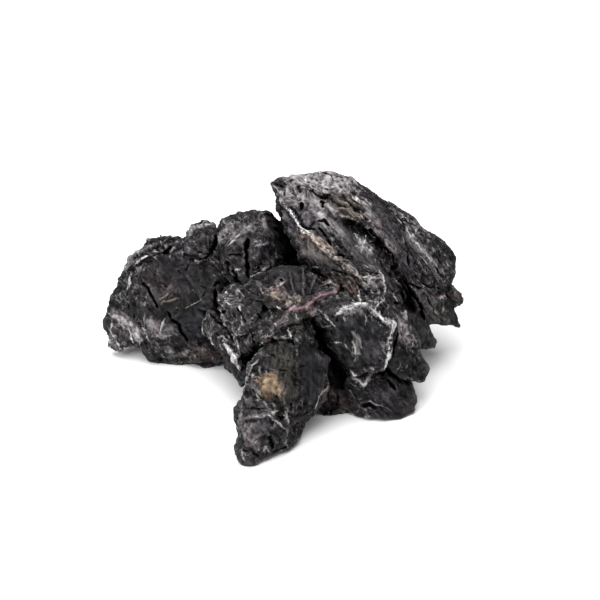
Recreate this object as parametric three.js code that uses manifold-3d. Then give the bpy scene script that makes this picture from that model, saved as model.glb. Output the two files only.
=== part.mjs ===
// A craggy dark limestone rock for an aquarium layout, modelled as one solid stone.
// Millimetres, +Z up. The origin is on the ground at the middle of the stone's box.

import * as THREE from "three";
import { ConvexGeometry } from "three/addons/geometries/ConvexGeometry.js";
import { ImprovedNoise } from "three/addons/math/ImprovedNoise.js";
import { mergeVertices } from "three/addons/utils/BufferGeometryUtils.js";
import Module from "manifold-3d";

// Driving dimensions
const viewTilt = 30; // degrees that the front view looks down
const viewDistance = 992; // from the viewer's eye to the plane through the stone's middle
const middleHeight = 50; // height of that plane's centre above the ground
const facetLength = 14; // longest triangle edge on the broken surface
const chipLength = 15; // width of an ordinary chipped facet
const chipRelief = 4; // how far chips stand proud of, or behind, the block they broke from
const chipSlope = 1.6; // how steeply a chipped facet leans, as rise over run
const spallLength = 36; // width of the large scars on the back and underneath
const spallRelief = 11; // how far those scars differ in level
const backStart = 30; // distance behind the stone's middle where the large scars begin
const bedThickness = 9; // thickness of one bed in the tilted slabs
const bedRelief = 3; // how far one bed's broken edge steps from the next
const bedWander = 4; // how far a bed strays from a true plane
const bedWanderLength = 40; // over which distance it strays
const slabReach = 75; // how far the clear bedding reaches from the middle of the tilted slabs
const slabFade = 30; // over which distance it fades away
const groundSide = 500; // the flat that the stone stands on is wider than the stone
const groundDepth = 60;
const stoneColour = 0x2b2b2e;

const wasm = await Module();
wasm.setup();

const tilt = THREE.MathUtils.degToRad(viewTilt);
const sightUp = new THREE.Vector3(0, Math.sin(tilt), Math.cos(tilt));
const sightNear = new THREE.Vector3(0, -Math.cos(tilt), Math.sin(tilt));

// A corner that shows in the front view: millimetres to the right of and above the view's centre,
// as they look at the middle plane, and how much nearer to the viewer than that plane it is.
function seen(across, up, near) {
  const shrink = 1 - near / viewDistance;
  return new THREE.Vector3(across * shrink, 0, middleHeight)
    .addScaledVector(sightUp, up * shrink)
    .addScaledVector(sightNear, near);
}

// A corner at the back or underneath: right, back and height above the ground.
const hidden = (right, back, height) => new THREE.Vector3(right, back, height);

// The blocks that the stone looks broken into, each by its corners.
const blocks = {
  core: [
    hidden(-40, 12, 5), hidden(-22, -20, 5), hidden(-50, 60, 6), hidden(10, 76, 5),
    hidden(85, 62, 6), hidden(92, 10, 5), hidden(45, -46, 0), hidden(24, -50, 0),
    hidden(-45, 30, 50), hidden(-30, 66, 60), hidden(30, 66, 62), hidden(70, 40, 58),
    hidden(36, -6, 46), hidden(0, -10, 52),
  ],
  leftShoulder: [
    seen(-123, -21, -50), seen(-126, -5, -45), seen(-122, 13, -42), seen(-114, 30, -40),
    seen(-110, 43, -38), seen(-95, 55, -34), seen(-73, 59, -30), seen(-48, 56, -22),
    seen(-86, 14, -20), seen(-62, 8, -14), seen(-102, -20, -42), seen(-48, -16, -26),
    seen(-23, 13, -14),
    hidden(-106, 74, 40), hidden(-98, 64, 14), hidden(-30, 70, 60), hidden(-30, 60, 20),
  ],
  shoulderFoot: [
    seen(-98, -24, -44), seen(-94, -32, -45), seen(-86, -35, -43), seen(-55, -36, -42),
    seen(-38, -31, -34), seen(-92, -8, -32), seen(-46, 4, -16), hidden(-94, 64, 4),
    hidden(-30, 70, 4), hidden(-20, 10, 20),
  ],
  shoulderKnob: [
    seen(-71, 57, -30), seen(-66, 65, -33), seen(-56, 70, -36), seen(-48, 67, -36),
    seen(-44, 57, -28), seen(-54, 43, -8), seen(-67, 46, -16),
    hidden(-58, 80, 78), hidden(-70, 74, 58), hidden(-45, 78, 68),
  ],
  dome: [
    seen(-46, 53, -20), seen(-43, 65, -26), seen(-31, 73, -26), seen(-20, 77, -26),
    seen(-9, 73, -28), seen(3, 64, -34), seen(7, 50, -42), seen(-44, 38, -4),
    seen(-25, 22, 4), seen(-4, 32, -14), seen(-16, 54, -4), seen(-36, 56, -6),
    hidden(-35, 86, 80), hidden(-4, 86, 80), hidden(-20, 90, 60), hidden(-40, 50, 30),
    hidden(4, 66, 40),
  ],
  innerSlab: [
    seen(-9, 95, -15), seen(9, 99, -14), seen(15, 102, -16), seen(33, 103, -18),
    seen(48, 101, -22), seen(57, 92, -20), seen(-3, 72, -14), seen(3, 56, -10),
    seen(14, 36, -2), seen(22, 30, 4), seen(-1, 83, -8), seen(12, 64, 8), seen(25, 52, 15),
    seen(40, 39, 21), seen(64, 22, 20), seen(82, 20, 6), seen(50, 13, 26),
    hidden(2, 84, 100), hidden(48, 92, 104), hidden(82, 84, 70), hidden(70, 60, 10),
    hidden(24, 70, 40), hidden(30, 30, 40),
  ],
  tanLedge: [
    seen(34, 86, -8), seen(46, 85, -6), seen(58, 72, 0), seen(57, 63, 6), seen(47, 65, 11),
    seen(36, 73, 8), seen(27, 82, -2), hidden(44, 60, 80),
  ],
  outerSlab: [
    seen(48, 99, -18), seen(62, 90, -15), seen(72, 80, -16), seen(83, 73, -19),
    seen(100, 63, -25), seen(115, 52, -32), seen(121, 43, -36), seen(120, 30, -38),
    seen(118, 21, -38), seen(55, 67, 2), seen(71, 46, 9), seen(82, 29, 8), seen(92, 10, 0),
    seen(108, -2, -30), seen(99, -10, -32),
    hidden(60, 94, 106), hidden(106, 86, 62), hidden(102, 74, 20), hidden(72, 62, 20),
  ],
  outerFlake: [
    seen(82, 22, -6), seen(112, 22, -34), seen(119, 8, -38), seen(124, -6, -42),
    seen(119, -6, -40), seen(112, -4, -34), seen(90, -2, -8), hidden(110, 64, 36),
    hidden(90, 60, 20), hidden(86, 30, 30),
  ],
  outerKnob: [
    seen(115, 21, -36), seen(121, 22, -35), seen(126, 18, -36), seen(126, 11, -38),
    seen(121, 8, -38), seen(112, 10, -36), hidden(110, 60, 56), hidden(112, 56, 44),
  ],
  innerFlake: [
    seen(80, 14, 4), seen(96, 2, -12), seen(104, -8, -20), seen(110, -17, -26),
    seen(106, -20, -26), seen(95, -21, -18), seen(84, -6, 6), hidden(84, 40, 14),
    hidden(100, 44, 24),
  ],
  middle: [
    seen(-41, 18, -4), seen(-45, -1, -2), seen(-30, 28, -4), seen(-9, 33, 0), seen(15, 33, 8),
    seen(40, 25, 20), seen(14, 9, 40), seen(-13, -14, 50), seen(-24, -19, 40),
    seen(34, 10, 38), seen(-33, -30, 26), seen(-12, 8, 28), hidden(-30, 0, 20),
    hidden(20, 0, 20), hidden(-20, 40, 40), hidden(30, 40, 40),
  ],
  middleCrag: [
    seen(-44, 16, 2), seen(-33, 24, 4), seen(-22, 20, 16), seen(-14, 8, 32), seen(-22, -8, 40),
    seen(-34, -14, 30), seen(-46, 2, 6), seen(-30, 6, 28), hidden(-30, 10, 40),
  ],
  fan: [
    seen(-13, 34, 4), seen(-2, 37, 8), seen(16, 36, 12), seen(26, 26, 22), seen(12, 8, 43),
    seen(-10, 6, 36), seen(-20, 18, 20), seen(3, 24, 27), hidden(0, 0, 60),
  ],
  veinRidge: [
    seen(36, 24, 28), seen(24, 18, 40), seen(10, 10, 48), seen(0, 6, 48), seen(-8, -6, 53),
    seen(-16, -16, 55), seen(16, 4, 44), seen(0, -6, 54), seen(38, 12, 40), hidden(10, -10, 50),
  ],
  lens: [
    seen(-56, -5, -10), seen(-53, 3, -8), seen(-43, 2, 4), seen(-38, -10, 10), seen(-46, -19, 2),
    seen(-53, -15, -6), seen(-47, -6, 6), hidden(-40, 30, 20), hidden(-30, 10, 20),
  ],
  wedge: [
    seen(-49, -16, -4), seen(-38, -30, 4), seen(-28, -46, 20), seen(-25, -34, 30),
    seen(-31, -12, 30), seen(-40, -8, 14), seen(-36, -20, 20), hidden(-36, 20, 12),
    hidden(-22, -20, 10),
  ],
  buttress: [
    seen(5, 1, 46), seen(17, 5, 40), seen(-9, -12, 50), seen(-16, -18, 50), seen(-24, -33, 50),
    seen(-29, -46, 52), seen(-31, -57, 54), seen(24, -12, 38), seen(31, -29, 38),
    seen(33, -47, 38), seen(28, -57, 37), seen(20, -67, 35), seen(8, -26, 57),
    seen(0, -50, 64), seen(4, -66, 61), hidden(22, -50, 0), hidden(-22, -60, 0),
    hidden(10, -20, 40),
  ],
  toe: [
    seen(-31, -52, 53), seen(-34, -71, 56), seen(-34, -83, 59), seen(-30, -97, 64),
    seen(-26, -103, 66), seen(-20, -102, 67), seen(-12, -99, 66), seen(5, -89, 52),
    seen(15, -77, 40), seen(22, -68, 32), seen(-20, -62, 67), seen(-8, -60, 68),
    seen(-14, -80, 74), seen(0, -76, 68), hidden(-12, -70, -2), hidden(10, -55, -2),
  ],
  toeKnob: [
    seen(-31, -95, 65), seen(-29, -100, 66), seen(-26, -104, 66), seen(-20, -103, 67),
    seen(-17, -99, 69), seen(-22, -93, 72), seen(-28, -92, 69), hidden(-18, -88, -2),
  ],
  rightBlock: [
    seen(36, 4, 52), seen(47, 11, 50), seen(62, 12, 46), seen(71, 0, 44), seen(78, -5, 39),
    seen(76, -19, 37), seen(71, -34, 34), seen(57, -38, 34), seen(47, -31, 39),
    seen(38, -17, 46), seen(20, 6, 36), seen(26, -10, 28), seen(44, -42, 16),
    hidden(30, 10, 70), hidden(85, 20, 64), hidden(82, 0, 20), hidden(44, 0, 18),
  ],
  rightLobe: [
    seen(80, 2, 30), seen(90, -8, 22), seen(96, -22, 16), seen(97, -29, 13), seen(101, -35, 11),
    seen(99, -46, 9), seen(88, -46, 14), seen(76, -38, 22), seen(72, -16, 32),
    hidden(88, 16, 50), hidden(92, 6, 14), hidden(60, 0, 30),
  ],
  base: [
    seen(45, -42, 18), seen(64, -38, 18), seen(82, -45, 13), seen(91, -47, 9),
    seen(93, -57, 13), seen(92, -65, 16), seen(83, -71, 22), seen(71, -67, 20),
    seen(61, -70, 23), seen(52, -65, 17), hidden(40, 20, 3), hidden(92, 16, 4),
    hidden(34, -40, 2),
  ],
  backLeft: [
    hidden(-98, 66, 0), hidden(-106, 74, 34), hidden(-70, 90, 60), hidden(-34, 88, 74),
    hidden(-14, 96, 40), hidden(-40, 90, -2), hidden(-20, 60, 66), hidden(-80, 50, 52),
    hidden(-60, 40, 10),
  ],
  backMiddle: [
    hidden(-30, 84, 8), hidden(-36, 88, 60), hidden(-12, 88, 78), hidden(16, 98, 72),
    hidden(34, 100, 34), hidden(28, 88, -2), hidden(0, 60, 70), hidden(10, 50, 20),
  ],
  backRight: [
    hidden(24, 84, 4), hidden(26, 97, 60), hidden(50, 98, 98), hidden(78, 95, 80),
    hidden(104, 85, 50), hidden(102, 70, 8), hidden(76, 82, -6), hidden(78, 60, -6), hidden(40, 60, 90),
    hidden(90, 50, 40),
  ],
};

// Narrow clefts that run along a path at the surface and close up with depth.
const clefts = {
  beddingParting: {
    path: [seen(53, 68, 8), seen(64, 54, 14), seen(73, 43, 14), seen(82, 28, 12), seen(90, 13, 6)],
    width: 4,
    depth: 26,
  },
  gapBesideSlab: {
    path: [seen(2, 60, -8), seen(8, 48, -8), seen(14, 37, 4), seen(19, 34, 8)],
    width: 7,
    depth: 34,
  },
  leftCreaseHigh: {
    path: [seen(-100, 25, -24), seen(-94, 17, -18), seen(-87, 9, -16)],
    width: 2.6,
    depth: 10,
  },
  leftCreaseLow: {
    path: [seen(-81, 5, -10), seen(-74, -4, -8), seen(-67, -13, -12)],
    width: 2.6,
    depth: 10,
  },
  domeSlot: {
    path: [seen(-26, 52, 2), seen(-25, 42, 4), seen(-26, 31, 6)],
    width: 3.4,
    depth: 14,
  },
  blockLedge: {
    path: [seen(60, -37, 40), seen(69, -39, 40), seen(78, -41, 36), seen(84, -47, 24)],
    width: 3.4,
    depth: 24,
  },
};

// A closed geometry as a solid that can be joined and cut.
function solidFrom(geometry) {
  const bare = geometry.clone();
  bare.deleteAttribute("normal");
  bare.deleteAttribute("uv");
  const merged = mergeVertices(bare, 1e-3);
  return new wasm.Manifold(
    new wasm.Mesh({
      numProp: 3,
      vertProperties: merged.attributes.position.array,
      triVerts: new Uint32Array(merged.index.array),
    }),
  );
}

function geometryFrom(solid) {
  const mesh = solid.getMesh();
  const corners = new Float32Array(mesh.numVert * 3);
  for (let i = 0; i < mesh.numVert; i++) {
    corners.set(mesh.vertProperties.subarray(i * mesh.numProp, i * mesh.numProp + 3), i * 3);
  }
  return new THREE.BufferGeometry()
    .setAttribute("position", new THREE.BufferAttribute(corners, 3))
    .setIndex(new THREE.BufferAttribute(mesh.triVerts, 1));
}

const grain = new ImprovedNoise();

// A repeatable number from 0 to 1 for a cell of a lattice.
function lot(i, j, k, salt) {
  const wave = Math.sin(i * 127.1 + j * 311.7 + k * 74.7 + salt * 53.3) * 43758.5453;
  return wave - Math.floor(wave);
}

// Chips: the point's nearest lattice seed gives it a flat facet with a slope and a level of its own.
function chips(point, length) {
  const p = point.clone().divideScalar(length);
  const home = p.clone().floor();
  let nearest = Infinity;
  let relief = 0;
  for (let i = home.x - 1; i <= home.x + 1; i++) {
    for (let j = home.y - 1; j <= home.y + 1; j++) {
      for (let k = home.z - 1; k <= home.z + 1; k++) {
        const seed = new THREE.Vector3(i + lot(i, j, k, 1), j + lot(i, j, k, 2), k + lot(i, j, k, 3));
        const away = p.clone().sub(seed);
        if (away.lengthSq() < nearest) {
          nearest = away.lengthSq();
          const slope = new THREE.Vector3(lot(i, j, k, 4), lot(i, j, k, 5), lot(i, j, k, 6));
          relief = slope.subScalar(0.5).dot(away) * chipSlope + lot(i, j, k, 7) - 0.5;
        }
      }
    }
  }
  return relief;
}

// Beds: each layer across the bedding steps in or out by its own amount.
const acrossBeds = new THREE.Vector3(0.77, 0, 0).addScaledVector(sightUp, 0.64).normalize();
function beds(point) {
  const { x, y, z } = point.clone().divideScalar(bedWanderLength);
  const wander = grain.noise(x, y, z) * bedWander;
  const layer = Math.floor((point.dot(acrossBeds) + wander) / bedThickness);
  return lot(layer, 3, 5, 9) - 0.5;
}

// How strongly the bedding shows: full on the tilted slabs at the upper right, none at the left.
const slabCentre = seen(75, 45, 0);
function bedding(point) {
  return THREE.MathUtils.smoothstep(slabReach - point.distanceTo(slabCentre), 0, slabFade);
}

function roughen(geometry) {
  geometry.computeVertexNormals();
  const { position, normal } = geometry.attributes;
  const point = new THREE.Vector3();
  const outward = new THREE.Vector3();
  for (let i = 0; i < position.count; i++) {
    point.fromBufferAttribute(position, i);
    outward.fromBufferAttribute(normal, i);
    const layered = bedding(point);
    const behind = THREE.MathUtils.smoothstep(point.y * Math.max(outward.y, 0), backStart, 2 * backStart);
    const broken = chips(point, chipLength) * chipRelief * (1 - 0.5 * layered);
    const spalled = chips(point, spallLength) * spallRelief * behind;
    const stepped = beds(point) * bedRelief * layered;
    point.addScaledVector(outward, broken + spalled + stepped);
    position.setXYZ(i, point.x, point.y, point.z);
  }
  return geometry;
}

// Halves every edge longer than a facet, with one shared midpoint for both triangles that meet there.
function tessellated(geometry) {
  const corners = [];
  const { position } = geometry.attributes;
  for (let i = 0; i < position.count; i++) {
    corners.push(new THREE.Vector3().fromBufferAttribute(position, i));
  }
  let triangles = [];
  for (let i = 0; i < geometry.index.count; i += 3) {
    triangles.push(Array.from(geometry.index.array.slice(i, i + 3)));
  }
  const midpoints = new Map();
  const midpoint = (a, b) => {
    const edge = a < b ? `${a} ${b}` : `${b} ${a}`;
    if (!midpoints.has(edge)) {
      midpoints.set(edge, corners.length);
      corners.push(corners[a].clone().add(corners[b]).multiplyScalar(0.5));
    }
    return midpoints.get(edge);
  };
  let halved = true;
  while (halved) {
    halved = false;
    triangles = triangles.flatMap((triangle) => {
      const lengths = triangle.map((a, n) => corners[a].distanceTo(corners[triangle[(n + 1) % 3]]));
      const longest = lengths.indexOf(Math.max(...lengths));
      const [a, b, c] = [0, 1, 2].map((n) => triangle[(longest + n) % 3]);
      const [ab, bc, ca] = [0, 1, 2].map((n) => lengths[(longest + n) % 3] > facetLength);
      if (!ab) {
        return [triangle];
      }
      halved = true;
      const m = midpoint(a, b);
      const first = bc ? [[m, b, midpoint(b, c)], [m, midpoint(b, c), c]] : [[m, b, c]];
      const second = ca ? [[m, c, midpoint(c, a)], [m, midpoint(c, a), a]] : [[m, c, a]];
      return [...first, ...second];
    });
  }
  return new THREE.BufferGeometry()
    .setFromPoints(corners)
    .setIndex(triangles.flat());
}

// The ground takes off whatever would hang below it, which leaves the flats the stone rests on.
function overGround(solid) {
  const ground = new THREE.BoxGeometry(groundSide, groundSide, groundDepth);
  return solid.subtract(solidFrom(ground.translate(0, 0, -groundDepth / 2)));
}

// One stretch of a cleft: open at the surface and closed at its depth.
function wedgeAlong(from, to, fromWidth, toWidth, depth) {
  const across = to.clone().sub(from).cross(sightNear).normalize();
  const rim = [[from, fromWidth], [to, toWidth]].flatMap(([point, width]) => [
    point.clone().addScaledVector(across, width / 2),
    point.clone().addScaledVector(across, -width / 2),
  ]);
  const bottom = [from, to].map((point) => point.clone().addScaledVector(sightNear, -depth));
  return solidFrom(new ConvexGeometry([...rim, ...bottom]));
}

// A cleft narrows to a third of its width at both ends of its path.
function cleft({ path, width, depth }) {
  const widthAt = (n) => (n === 0 || n === path.length - 1 ? width / 3 : width);
  return path.slice(1)
    .map((point, n) => wedgeAlong(path[n], point, widthAt(n), widthAt(n + 1), depth))
    .reduce((joined, stretch) => joined.add(stretch));
}

// Cutting frees a few slivers, which fall away from the stone.
function largestPiece(solid) {
  return solid.decompose().reduce((large, piece) => (piece.volume() > large.volume() ? piece : large));
}

function brokenStone() {
  const whole = Object.values(blocks)
    .map((corners) => solidFrom(new ConvexGeometry(corners)))
    .reduce((joined, block) => joined.add(block));
  const rough = solidFrom(roughen(tessellated(geometryFrom(whole))));
  const cloven = Object.values(clefts).reduce((solid, one) => solid.subtract(cleft(one)), rough);
  return largestPiece(overGround(cloven));
}

const rock = new THREE.Mesh(
  geometryFrom(brokenStone()),
  new THREE.MeshStandardMaterial({ color: stoneColour, roughness: 0.85, metalness: 0 }),
);
rock.name = "rock";
rock.geometry.computeBoundingBox();
const { min, max } = rock.geometry.boundingBox;
rock.position.set(-(min.x + max.x) / 2, -(min.y + max.y) / 2, -min.z);

const stone = new THREE.Group();
stone.add(rock);

export default stone;
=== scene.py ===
"""The fine surface, the finish and the stage of a craggy, veined limestone rock for an aquarium layout."""

import math
from collections import namedtuple

import bpy
import numpy as np
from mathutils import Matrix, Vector
from mathutils.bvhtree import BVHTree
from mathutils.kdtree import KDTree


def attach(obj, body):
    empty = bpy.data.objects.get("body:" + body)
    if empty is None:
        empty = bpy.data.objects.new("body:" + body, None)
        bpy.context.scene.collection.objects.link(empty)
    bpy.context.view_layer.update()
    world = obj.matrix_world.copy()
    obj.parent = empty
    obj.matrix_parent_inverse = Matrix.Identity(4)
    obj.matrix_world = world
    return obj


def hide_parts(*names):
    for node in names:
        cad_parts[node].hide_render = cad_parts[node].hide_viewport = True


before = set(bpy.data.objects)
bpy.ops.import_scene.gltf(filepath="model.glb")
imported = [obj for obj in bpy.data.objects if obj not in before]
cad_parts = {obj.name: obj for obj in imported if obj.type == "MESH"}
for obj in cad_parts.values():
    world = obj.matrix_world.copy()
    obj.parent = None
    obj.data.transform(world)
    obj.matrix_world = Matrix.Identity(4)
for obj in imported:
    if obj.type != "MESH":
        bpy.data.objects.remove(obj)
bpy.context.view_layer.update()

bl_info = {
    "name": "Aquascaping Rock",
    "version": (1, 0, 0),
    "blender": (4, 5, 0),
    "location": "3D View > Sidebar > Rock",
    "description": "Breaks and colours the surface of a veined limestone rock, and sets its stage",
    "category": "Object",
}

MM = 0.001

# The front view: the point of the stone that it looks at, and where that point shows in the picture
VIEW_MIDDLE = Vector((0.35, -0.82, 50.0)) * MM
VIEW_TILT = math.radians(30)
VIEW_DISTANCE = 992 * MM
VIEW_LENS = 85
VIEW_SENSOR = 36
PICTURE_SIDE = 600
MIDDLE_PIXEL = (283, 318)
STONE_MIDDLE = Vector((14, 40, 35)) * MM

VIEW_NEAR = Vector((0, -math.cos(VIEW_TILT), math.sin(VIEW_TILT)))
VIEW_UP = Vector((0, math.sin(VIEW_TILT), math.cos(VIEW_TILT)))
VIEW_RIGHT = Vector((1, 0, 0))
PIXEL_SIZE = VIEW_DISTANCE * VIEW_SENSOR / VIEW_LENS / PICTURE_SIDE

# Marks and stains each have a path, a width in mm, and a third number. The path goes from one pixel of
# the front view to the next. A path with three numbers to each stop starts from places in mm outside
# the stone, for the sides that the front view doesn't show. For marks and ledges the third number is
# the lift out of the surface in mm, and for stains it is how much of the mineral shows.

# Creases, gaps and pits sunk into the stone
HOLLOWS = {
    "upper slit on the shoulder": ([(142, 284), (147, 289), (150, 295), (155, 301), (158, 307)], 3.6, -4.4),
    "lower slit on the shoulder": ([(167, 312), (171, 319), (178, 324), (182, 332), (188, 340)], 3.4, -4.2),
    "short slit at the left": ([(128, 292), (129, 302), (130, 310)], 2.0, -2.6),
    "pit by the short slit": ([(135, 314), (135, 319)], 2.2, -2.6),
    "pit in the shoulder's middle": ([(166, 286), (166, 288)], 2.4, -2.2),
    "notch under the shoulder's rim": ([(171, 248), (168, 253), (163, 254)], 6.5, -4.6),
    "pit in the rim": ([(163, 241), (165, 241)], 2.4, -1.8),
    "crease under the rim": ([(162, 256), (154, 259), (146, 263)], 2.0, -0.7),
    "hollow behind the rim speckle": ([(132, 266), (128, 271)], 3.6, -2.8),
    "pit on the rim": ([(137, 256), (139, 259)], 2.6, -1.8),
    "crease on the shoulder": ([(189, 263), (186, 271)], 2.0, -1.6),
    "short crease on the shoulder": ([(177, 270), (181, 275)], 1.8, -1.4),
    "dash on the shoulder": ([(200, 286), (206, 287)], 1.8, -1.4),
    "second dash on the shoulder": ([(204, 296), (207, 291)], 1.8, -1.4),
    "shade right of the knob": ([(215, 236), (215, 245), (211, 253)], 4.4, -3.2),
    "crease under the knob": ([(212, 254), (204, 254), (196, 250)], 2.8, -2.6),
    "crease down the dome": ([(248, 240), (246, 252), (247, 264), (248, 279)], 4.6, -5.0),
    "step left of that crease": ([(229, 256), (236, 255), (243, 256)], 2.2, -2.0),
    "hole below the dome": ([(234, 272), (237, 278), (238, 282)], 5.4, -6.0),
    "crease to the hole": ([(222, 274), (230, 274)], 2.0, -1.8),
    "gap left of the dome": ([(228, 262), (229, 270)], 3.0, -2.4),
    "pit at the dome's foot": ([(218, 283), (215, 286)], 3.4, -2.6),
    "pit under the dome": ([(280, 279), (282, 281)], 3.0, -2.6),
    "hollow in the dome's side": ([(262, 219), (268, 215)], 6.0, -2.4),
    "hollow by the cleft": ([(276, 230), (281, 234)], 7.0, -2.4),
    "crease left of the centre": ([(216, 290), (217, 304), (220, 313)], 3.2, -3.6),
    "pit by the rust": ([(224, 312), (226, 313)], 3.2, -3.0),
    "crease under the speckle": ([(238, 311), (243, 317), (247, 325), (252, 332), (254, 340)], 2.4, -3.0),
    "gap behind the lens": ([(211, 315), (218, 322), (228, 328), (236, 342)], 3.6, -3.2),
    "gap right of the wedge": ([(243, 352), (244, 362), (243, 372)], 3.0, -3.0),
    "crease on the centre": ([(257, 315), (262, 321)], 2.2, -2.0),
    "second crease on the centre": ([(250, 300), (260, 301), (269, 302)], 2.0, -1.4),
    "gap left of the buttress": ([(256, 346), (252, 356), (246, 366)], 4.6, -4.6),
    "gap under the seam": ([(261, 346), (263, 341)], 2.6, -2.6),
    "pit under the seam": ([(272, 338), (274, 340)], 3.0, -3.4),
    "dark corner under the drop": ([(292, 338), (294, 346)], 3.0, -3.4),
    "pit above the seam": ([(304, 297), (306, 299)], 3.0, -3.0),
    "pit in the olive patch": ([(304, 319), (306, 320)], 2.4, -2.0),
    "pit high on the buttress": ([(272, 354), (275, 357)], 2.6, -1.3),
    "second pit on the buttress": ([(279, 357), (281, 362)], 2.6, -1.4),
    "pit right of the buttress's middle": ([(295, 352), (294, 360)], 3.6, -1.7),
    "small pit on the buttress": ([(300, 365), (305, 366)], 2.6, -1.1),
    "slit over the ochre patch": ([(280, 370), (286, 371)], 2.6, -1.8),
    "slit's drip": ([(284, 371), (285, 378)], 1.8, -1.4),
    "pit low on the buttress": ([(291, 404), (288, 414)], 3.2, -3.2),
    "second pit low on the buttress": ([(300, 404), (301, 409)], 1.8, -1.6),
    "pit by the rim line": ([(304, 413), (308, 411)], 2.6, -2.0),
    "pit under the knot": ([(279, 417), (284, 418)], 2.8, -2.2),
    "pits by the toe's edge": ([(300, 426), (303, 429)], 3.0, -2.4),
    "crease over the toe's rim": ([(248, 409), (258, 409), (266, 411)], 2.4, -1.8),
    "hollow in the toe": ([(271, 436), (271, 447)], 5.4, -4.0),
    "crease right of the toe's hollow": ([(272, 452), (280, 449), (286, 446)], 2.4, -2.0),
    "notch above the tip": ([(243, 451), (250, 453), (258, 457)], 2.6, -1.8),
    "pit by the white dash": ([(254, 391), (256, 394)], 2.4, -1.8),
    "dark knob at the slab's corner": ([(277, 184), (282, 187)], 3.0, -1.6),
    "pit on the slab's corner": ([(291, 181), (297, 182)], 2.8, -2.0),
    "crease on the slab's corner": ([(289, 186), (291, 191)], 2.0, -2.2),
    "hollow on the slab's corner": ([(299, 185), (301, 192)], 3.4, -2.6),
    "small pits on the slab's corner": ([(285, 191), (284, 196)], 2.2, -1.8),
    "dark pit by the lump": ([(301, 203), (302, 209)], 4.0, -4.0),
    "pits left of the lump": ([(291, 208), (297, 213), (300, 219)], 2.8, -2.2),
    "shade under the lump": ([(301, 224), (307, 230), (314, 230)], 3.6, -3.6),
    "crease down the slab's top": ([(325, 173), (330, 178), (334, 182)], 2.4, -2.2),
    "pit on the slab's top": ([(337, 178), (341, 178)], 3.0, -2.0),
    "pit in the mottling": ([(325, 189), (327, 191)], 2.2, -2.0),
    "hole under the mottling": ([(321, 201), (324, 202), (324, 206)], 4.2, -5.0),
    "dark ledge end": ([(311, 191), (317, 194), (323, 196), (330, 197)], 3.4, -3.6),
    "long hole in the slab": ([(319, 222), (324, 221), (328, 225)], 4.4, -5.0),
    "crease by the tan band": ([(319, 229), (324, 235), (328, 241), (330, 245)], 3.4, -4.6),
    "second crease by the tan band": ([(330, 251), (333, 255), (336, 257)], 1.8, -2.4),
    "pits by the tan band": ([(338, 254), (344, 256)], 4.0, -4.0),
    "pit right of the tan band": ([(352, 264), (357, 267)], 3.2, -2.8),
    "pit left of the tan band": ([(336, 262), (339, 263)], 2.8, -2.2),
    "shade below the tan band": ([(331, 269), (340, 272), (350, 276), (357, 281)], 2.2, -2.0),
    "groove under the band": ([(362, 272), (370, 273), (377, 274)], 2.6, -2.0),
    "groove under the vein bar": ([(361, 281), (366, 284)], 2.0, -1.6),
    "parting right of the cream block": ([(346, 197), (348, 201)], 2.0, -2.2),
    "pit on the tan face": ([(353, 207), (355, 210)], 2.6, -2.0),
    "main cleft's start": ([(350, 221), (356, 225), (363, 227), (369, 231)], 3.2, -3.6),
    "main cleft": (
        [(369, 231), (376, 240), (383, 248), (389, 257), (395, 267), (400, 276), (405, 284)], 7.0, -9.0),
    "main cleft's foot": ([(407, 285), (412, 293), (418, 300), (421, 308), (424, 318)], 5.4, -6.5),
    "branch of the cleft": ([(409, 284), (415, 287), (420, 288)], 2.6, -3.0),
    "second branch of the cleft": ([(419, 282), (426, 285), (432, 287), (440, 288)], 2.2, -2.6),
    "upright crease in the outer slab": ([(406, 251), (408, 259), (411, 269)], 3.6, -4.2),
    "shade along the outer rim": ([(399, 219), (404, 226), (406, 233)], 2.4, -1.8),
    "pits on the outer slab": ([(424, 233), (426, 236)], 2.8, -2.2),
    "third parting in the outer slab": ([(434, 266), (440, 275), (447, 284)], 2.2, -2.8),
    "pit in the outer slab": ([(416, 277), (417, 279)], 2.2, -2.0),
    "crease in the inner slab": ([(380, 263), (384, 267), (387, 269)], 1.8, -1.4),
    "parting in the flake": ([(422, 292), (427, 300), (431, 308), (435, 316)], 2.2, -2.4),
    "second parting in the flake": ([(441, 303), (442, 311), (441, 318)], 1.8, -1.4),
    "gap beside the knob": ([(449, 287), (446, 293), (452, 301)], 2.2, -2.2),
    "notch in the knob": ([(451, 294), (456, 293)], 1.8, -1.8),
    "hole right of the loop": ([(395, 303), (400, 304), (407, 302)], 3.0, -3.4),
    "shade in the loop": ([(380, 305), (383, 309), (382, 313)], 4.0, -3.0),
    "crease left of the block": ([(312, 318), (318, 332), (325, 346), (331, 358), (335, 370)], 5.6, -5.4),
    "crease right of the block": ([(397, 330), (395, 344), (392, 358)], 2.2, -2.2),
    "pit left of the facet": ([(337, 319), (339, 322)], 3.0, -2.4),
    "slit under the block": ([(369, 371), (376, 371), (383, 372)], 3.2, -5.0),
    "slit's end": ([(386, 375), (389, 382), (395, 389)], 3.0, -4.0),
    "gap left of the V": ([(341, 372), (344, 380), (342, 388)], 4.0, -3.0),
    "dark knot in the base": ([(364, 406), (370, 405), (376, 408)], 4.4, -2.8),
    "crease in the base": ([(349, 388), (354, 396), (360, 401)], 2.0, -2.0),
    "first groove in the recess": ([(328, 391), (329, 408)], 2.2, -2.0),
    "second groove in the recess": ([(338, 392), (339, 408)], 2.2, -2.0),
    "third groove in the recess": ([(346, 402), (347, 411)], 2.0, -1.8),
}

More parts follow.
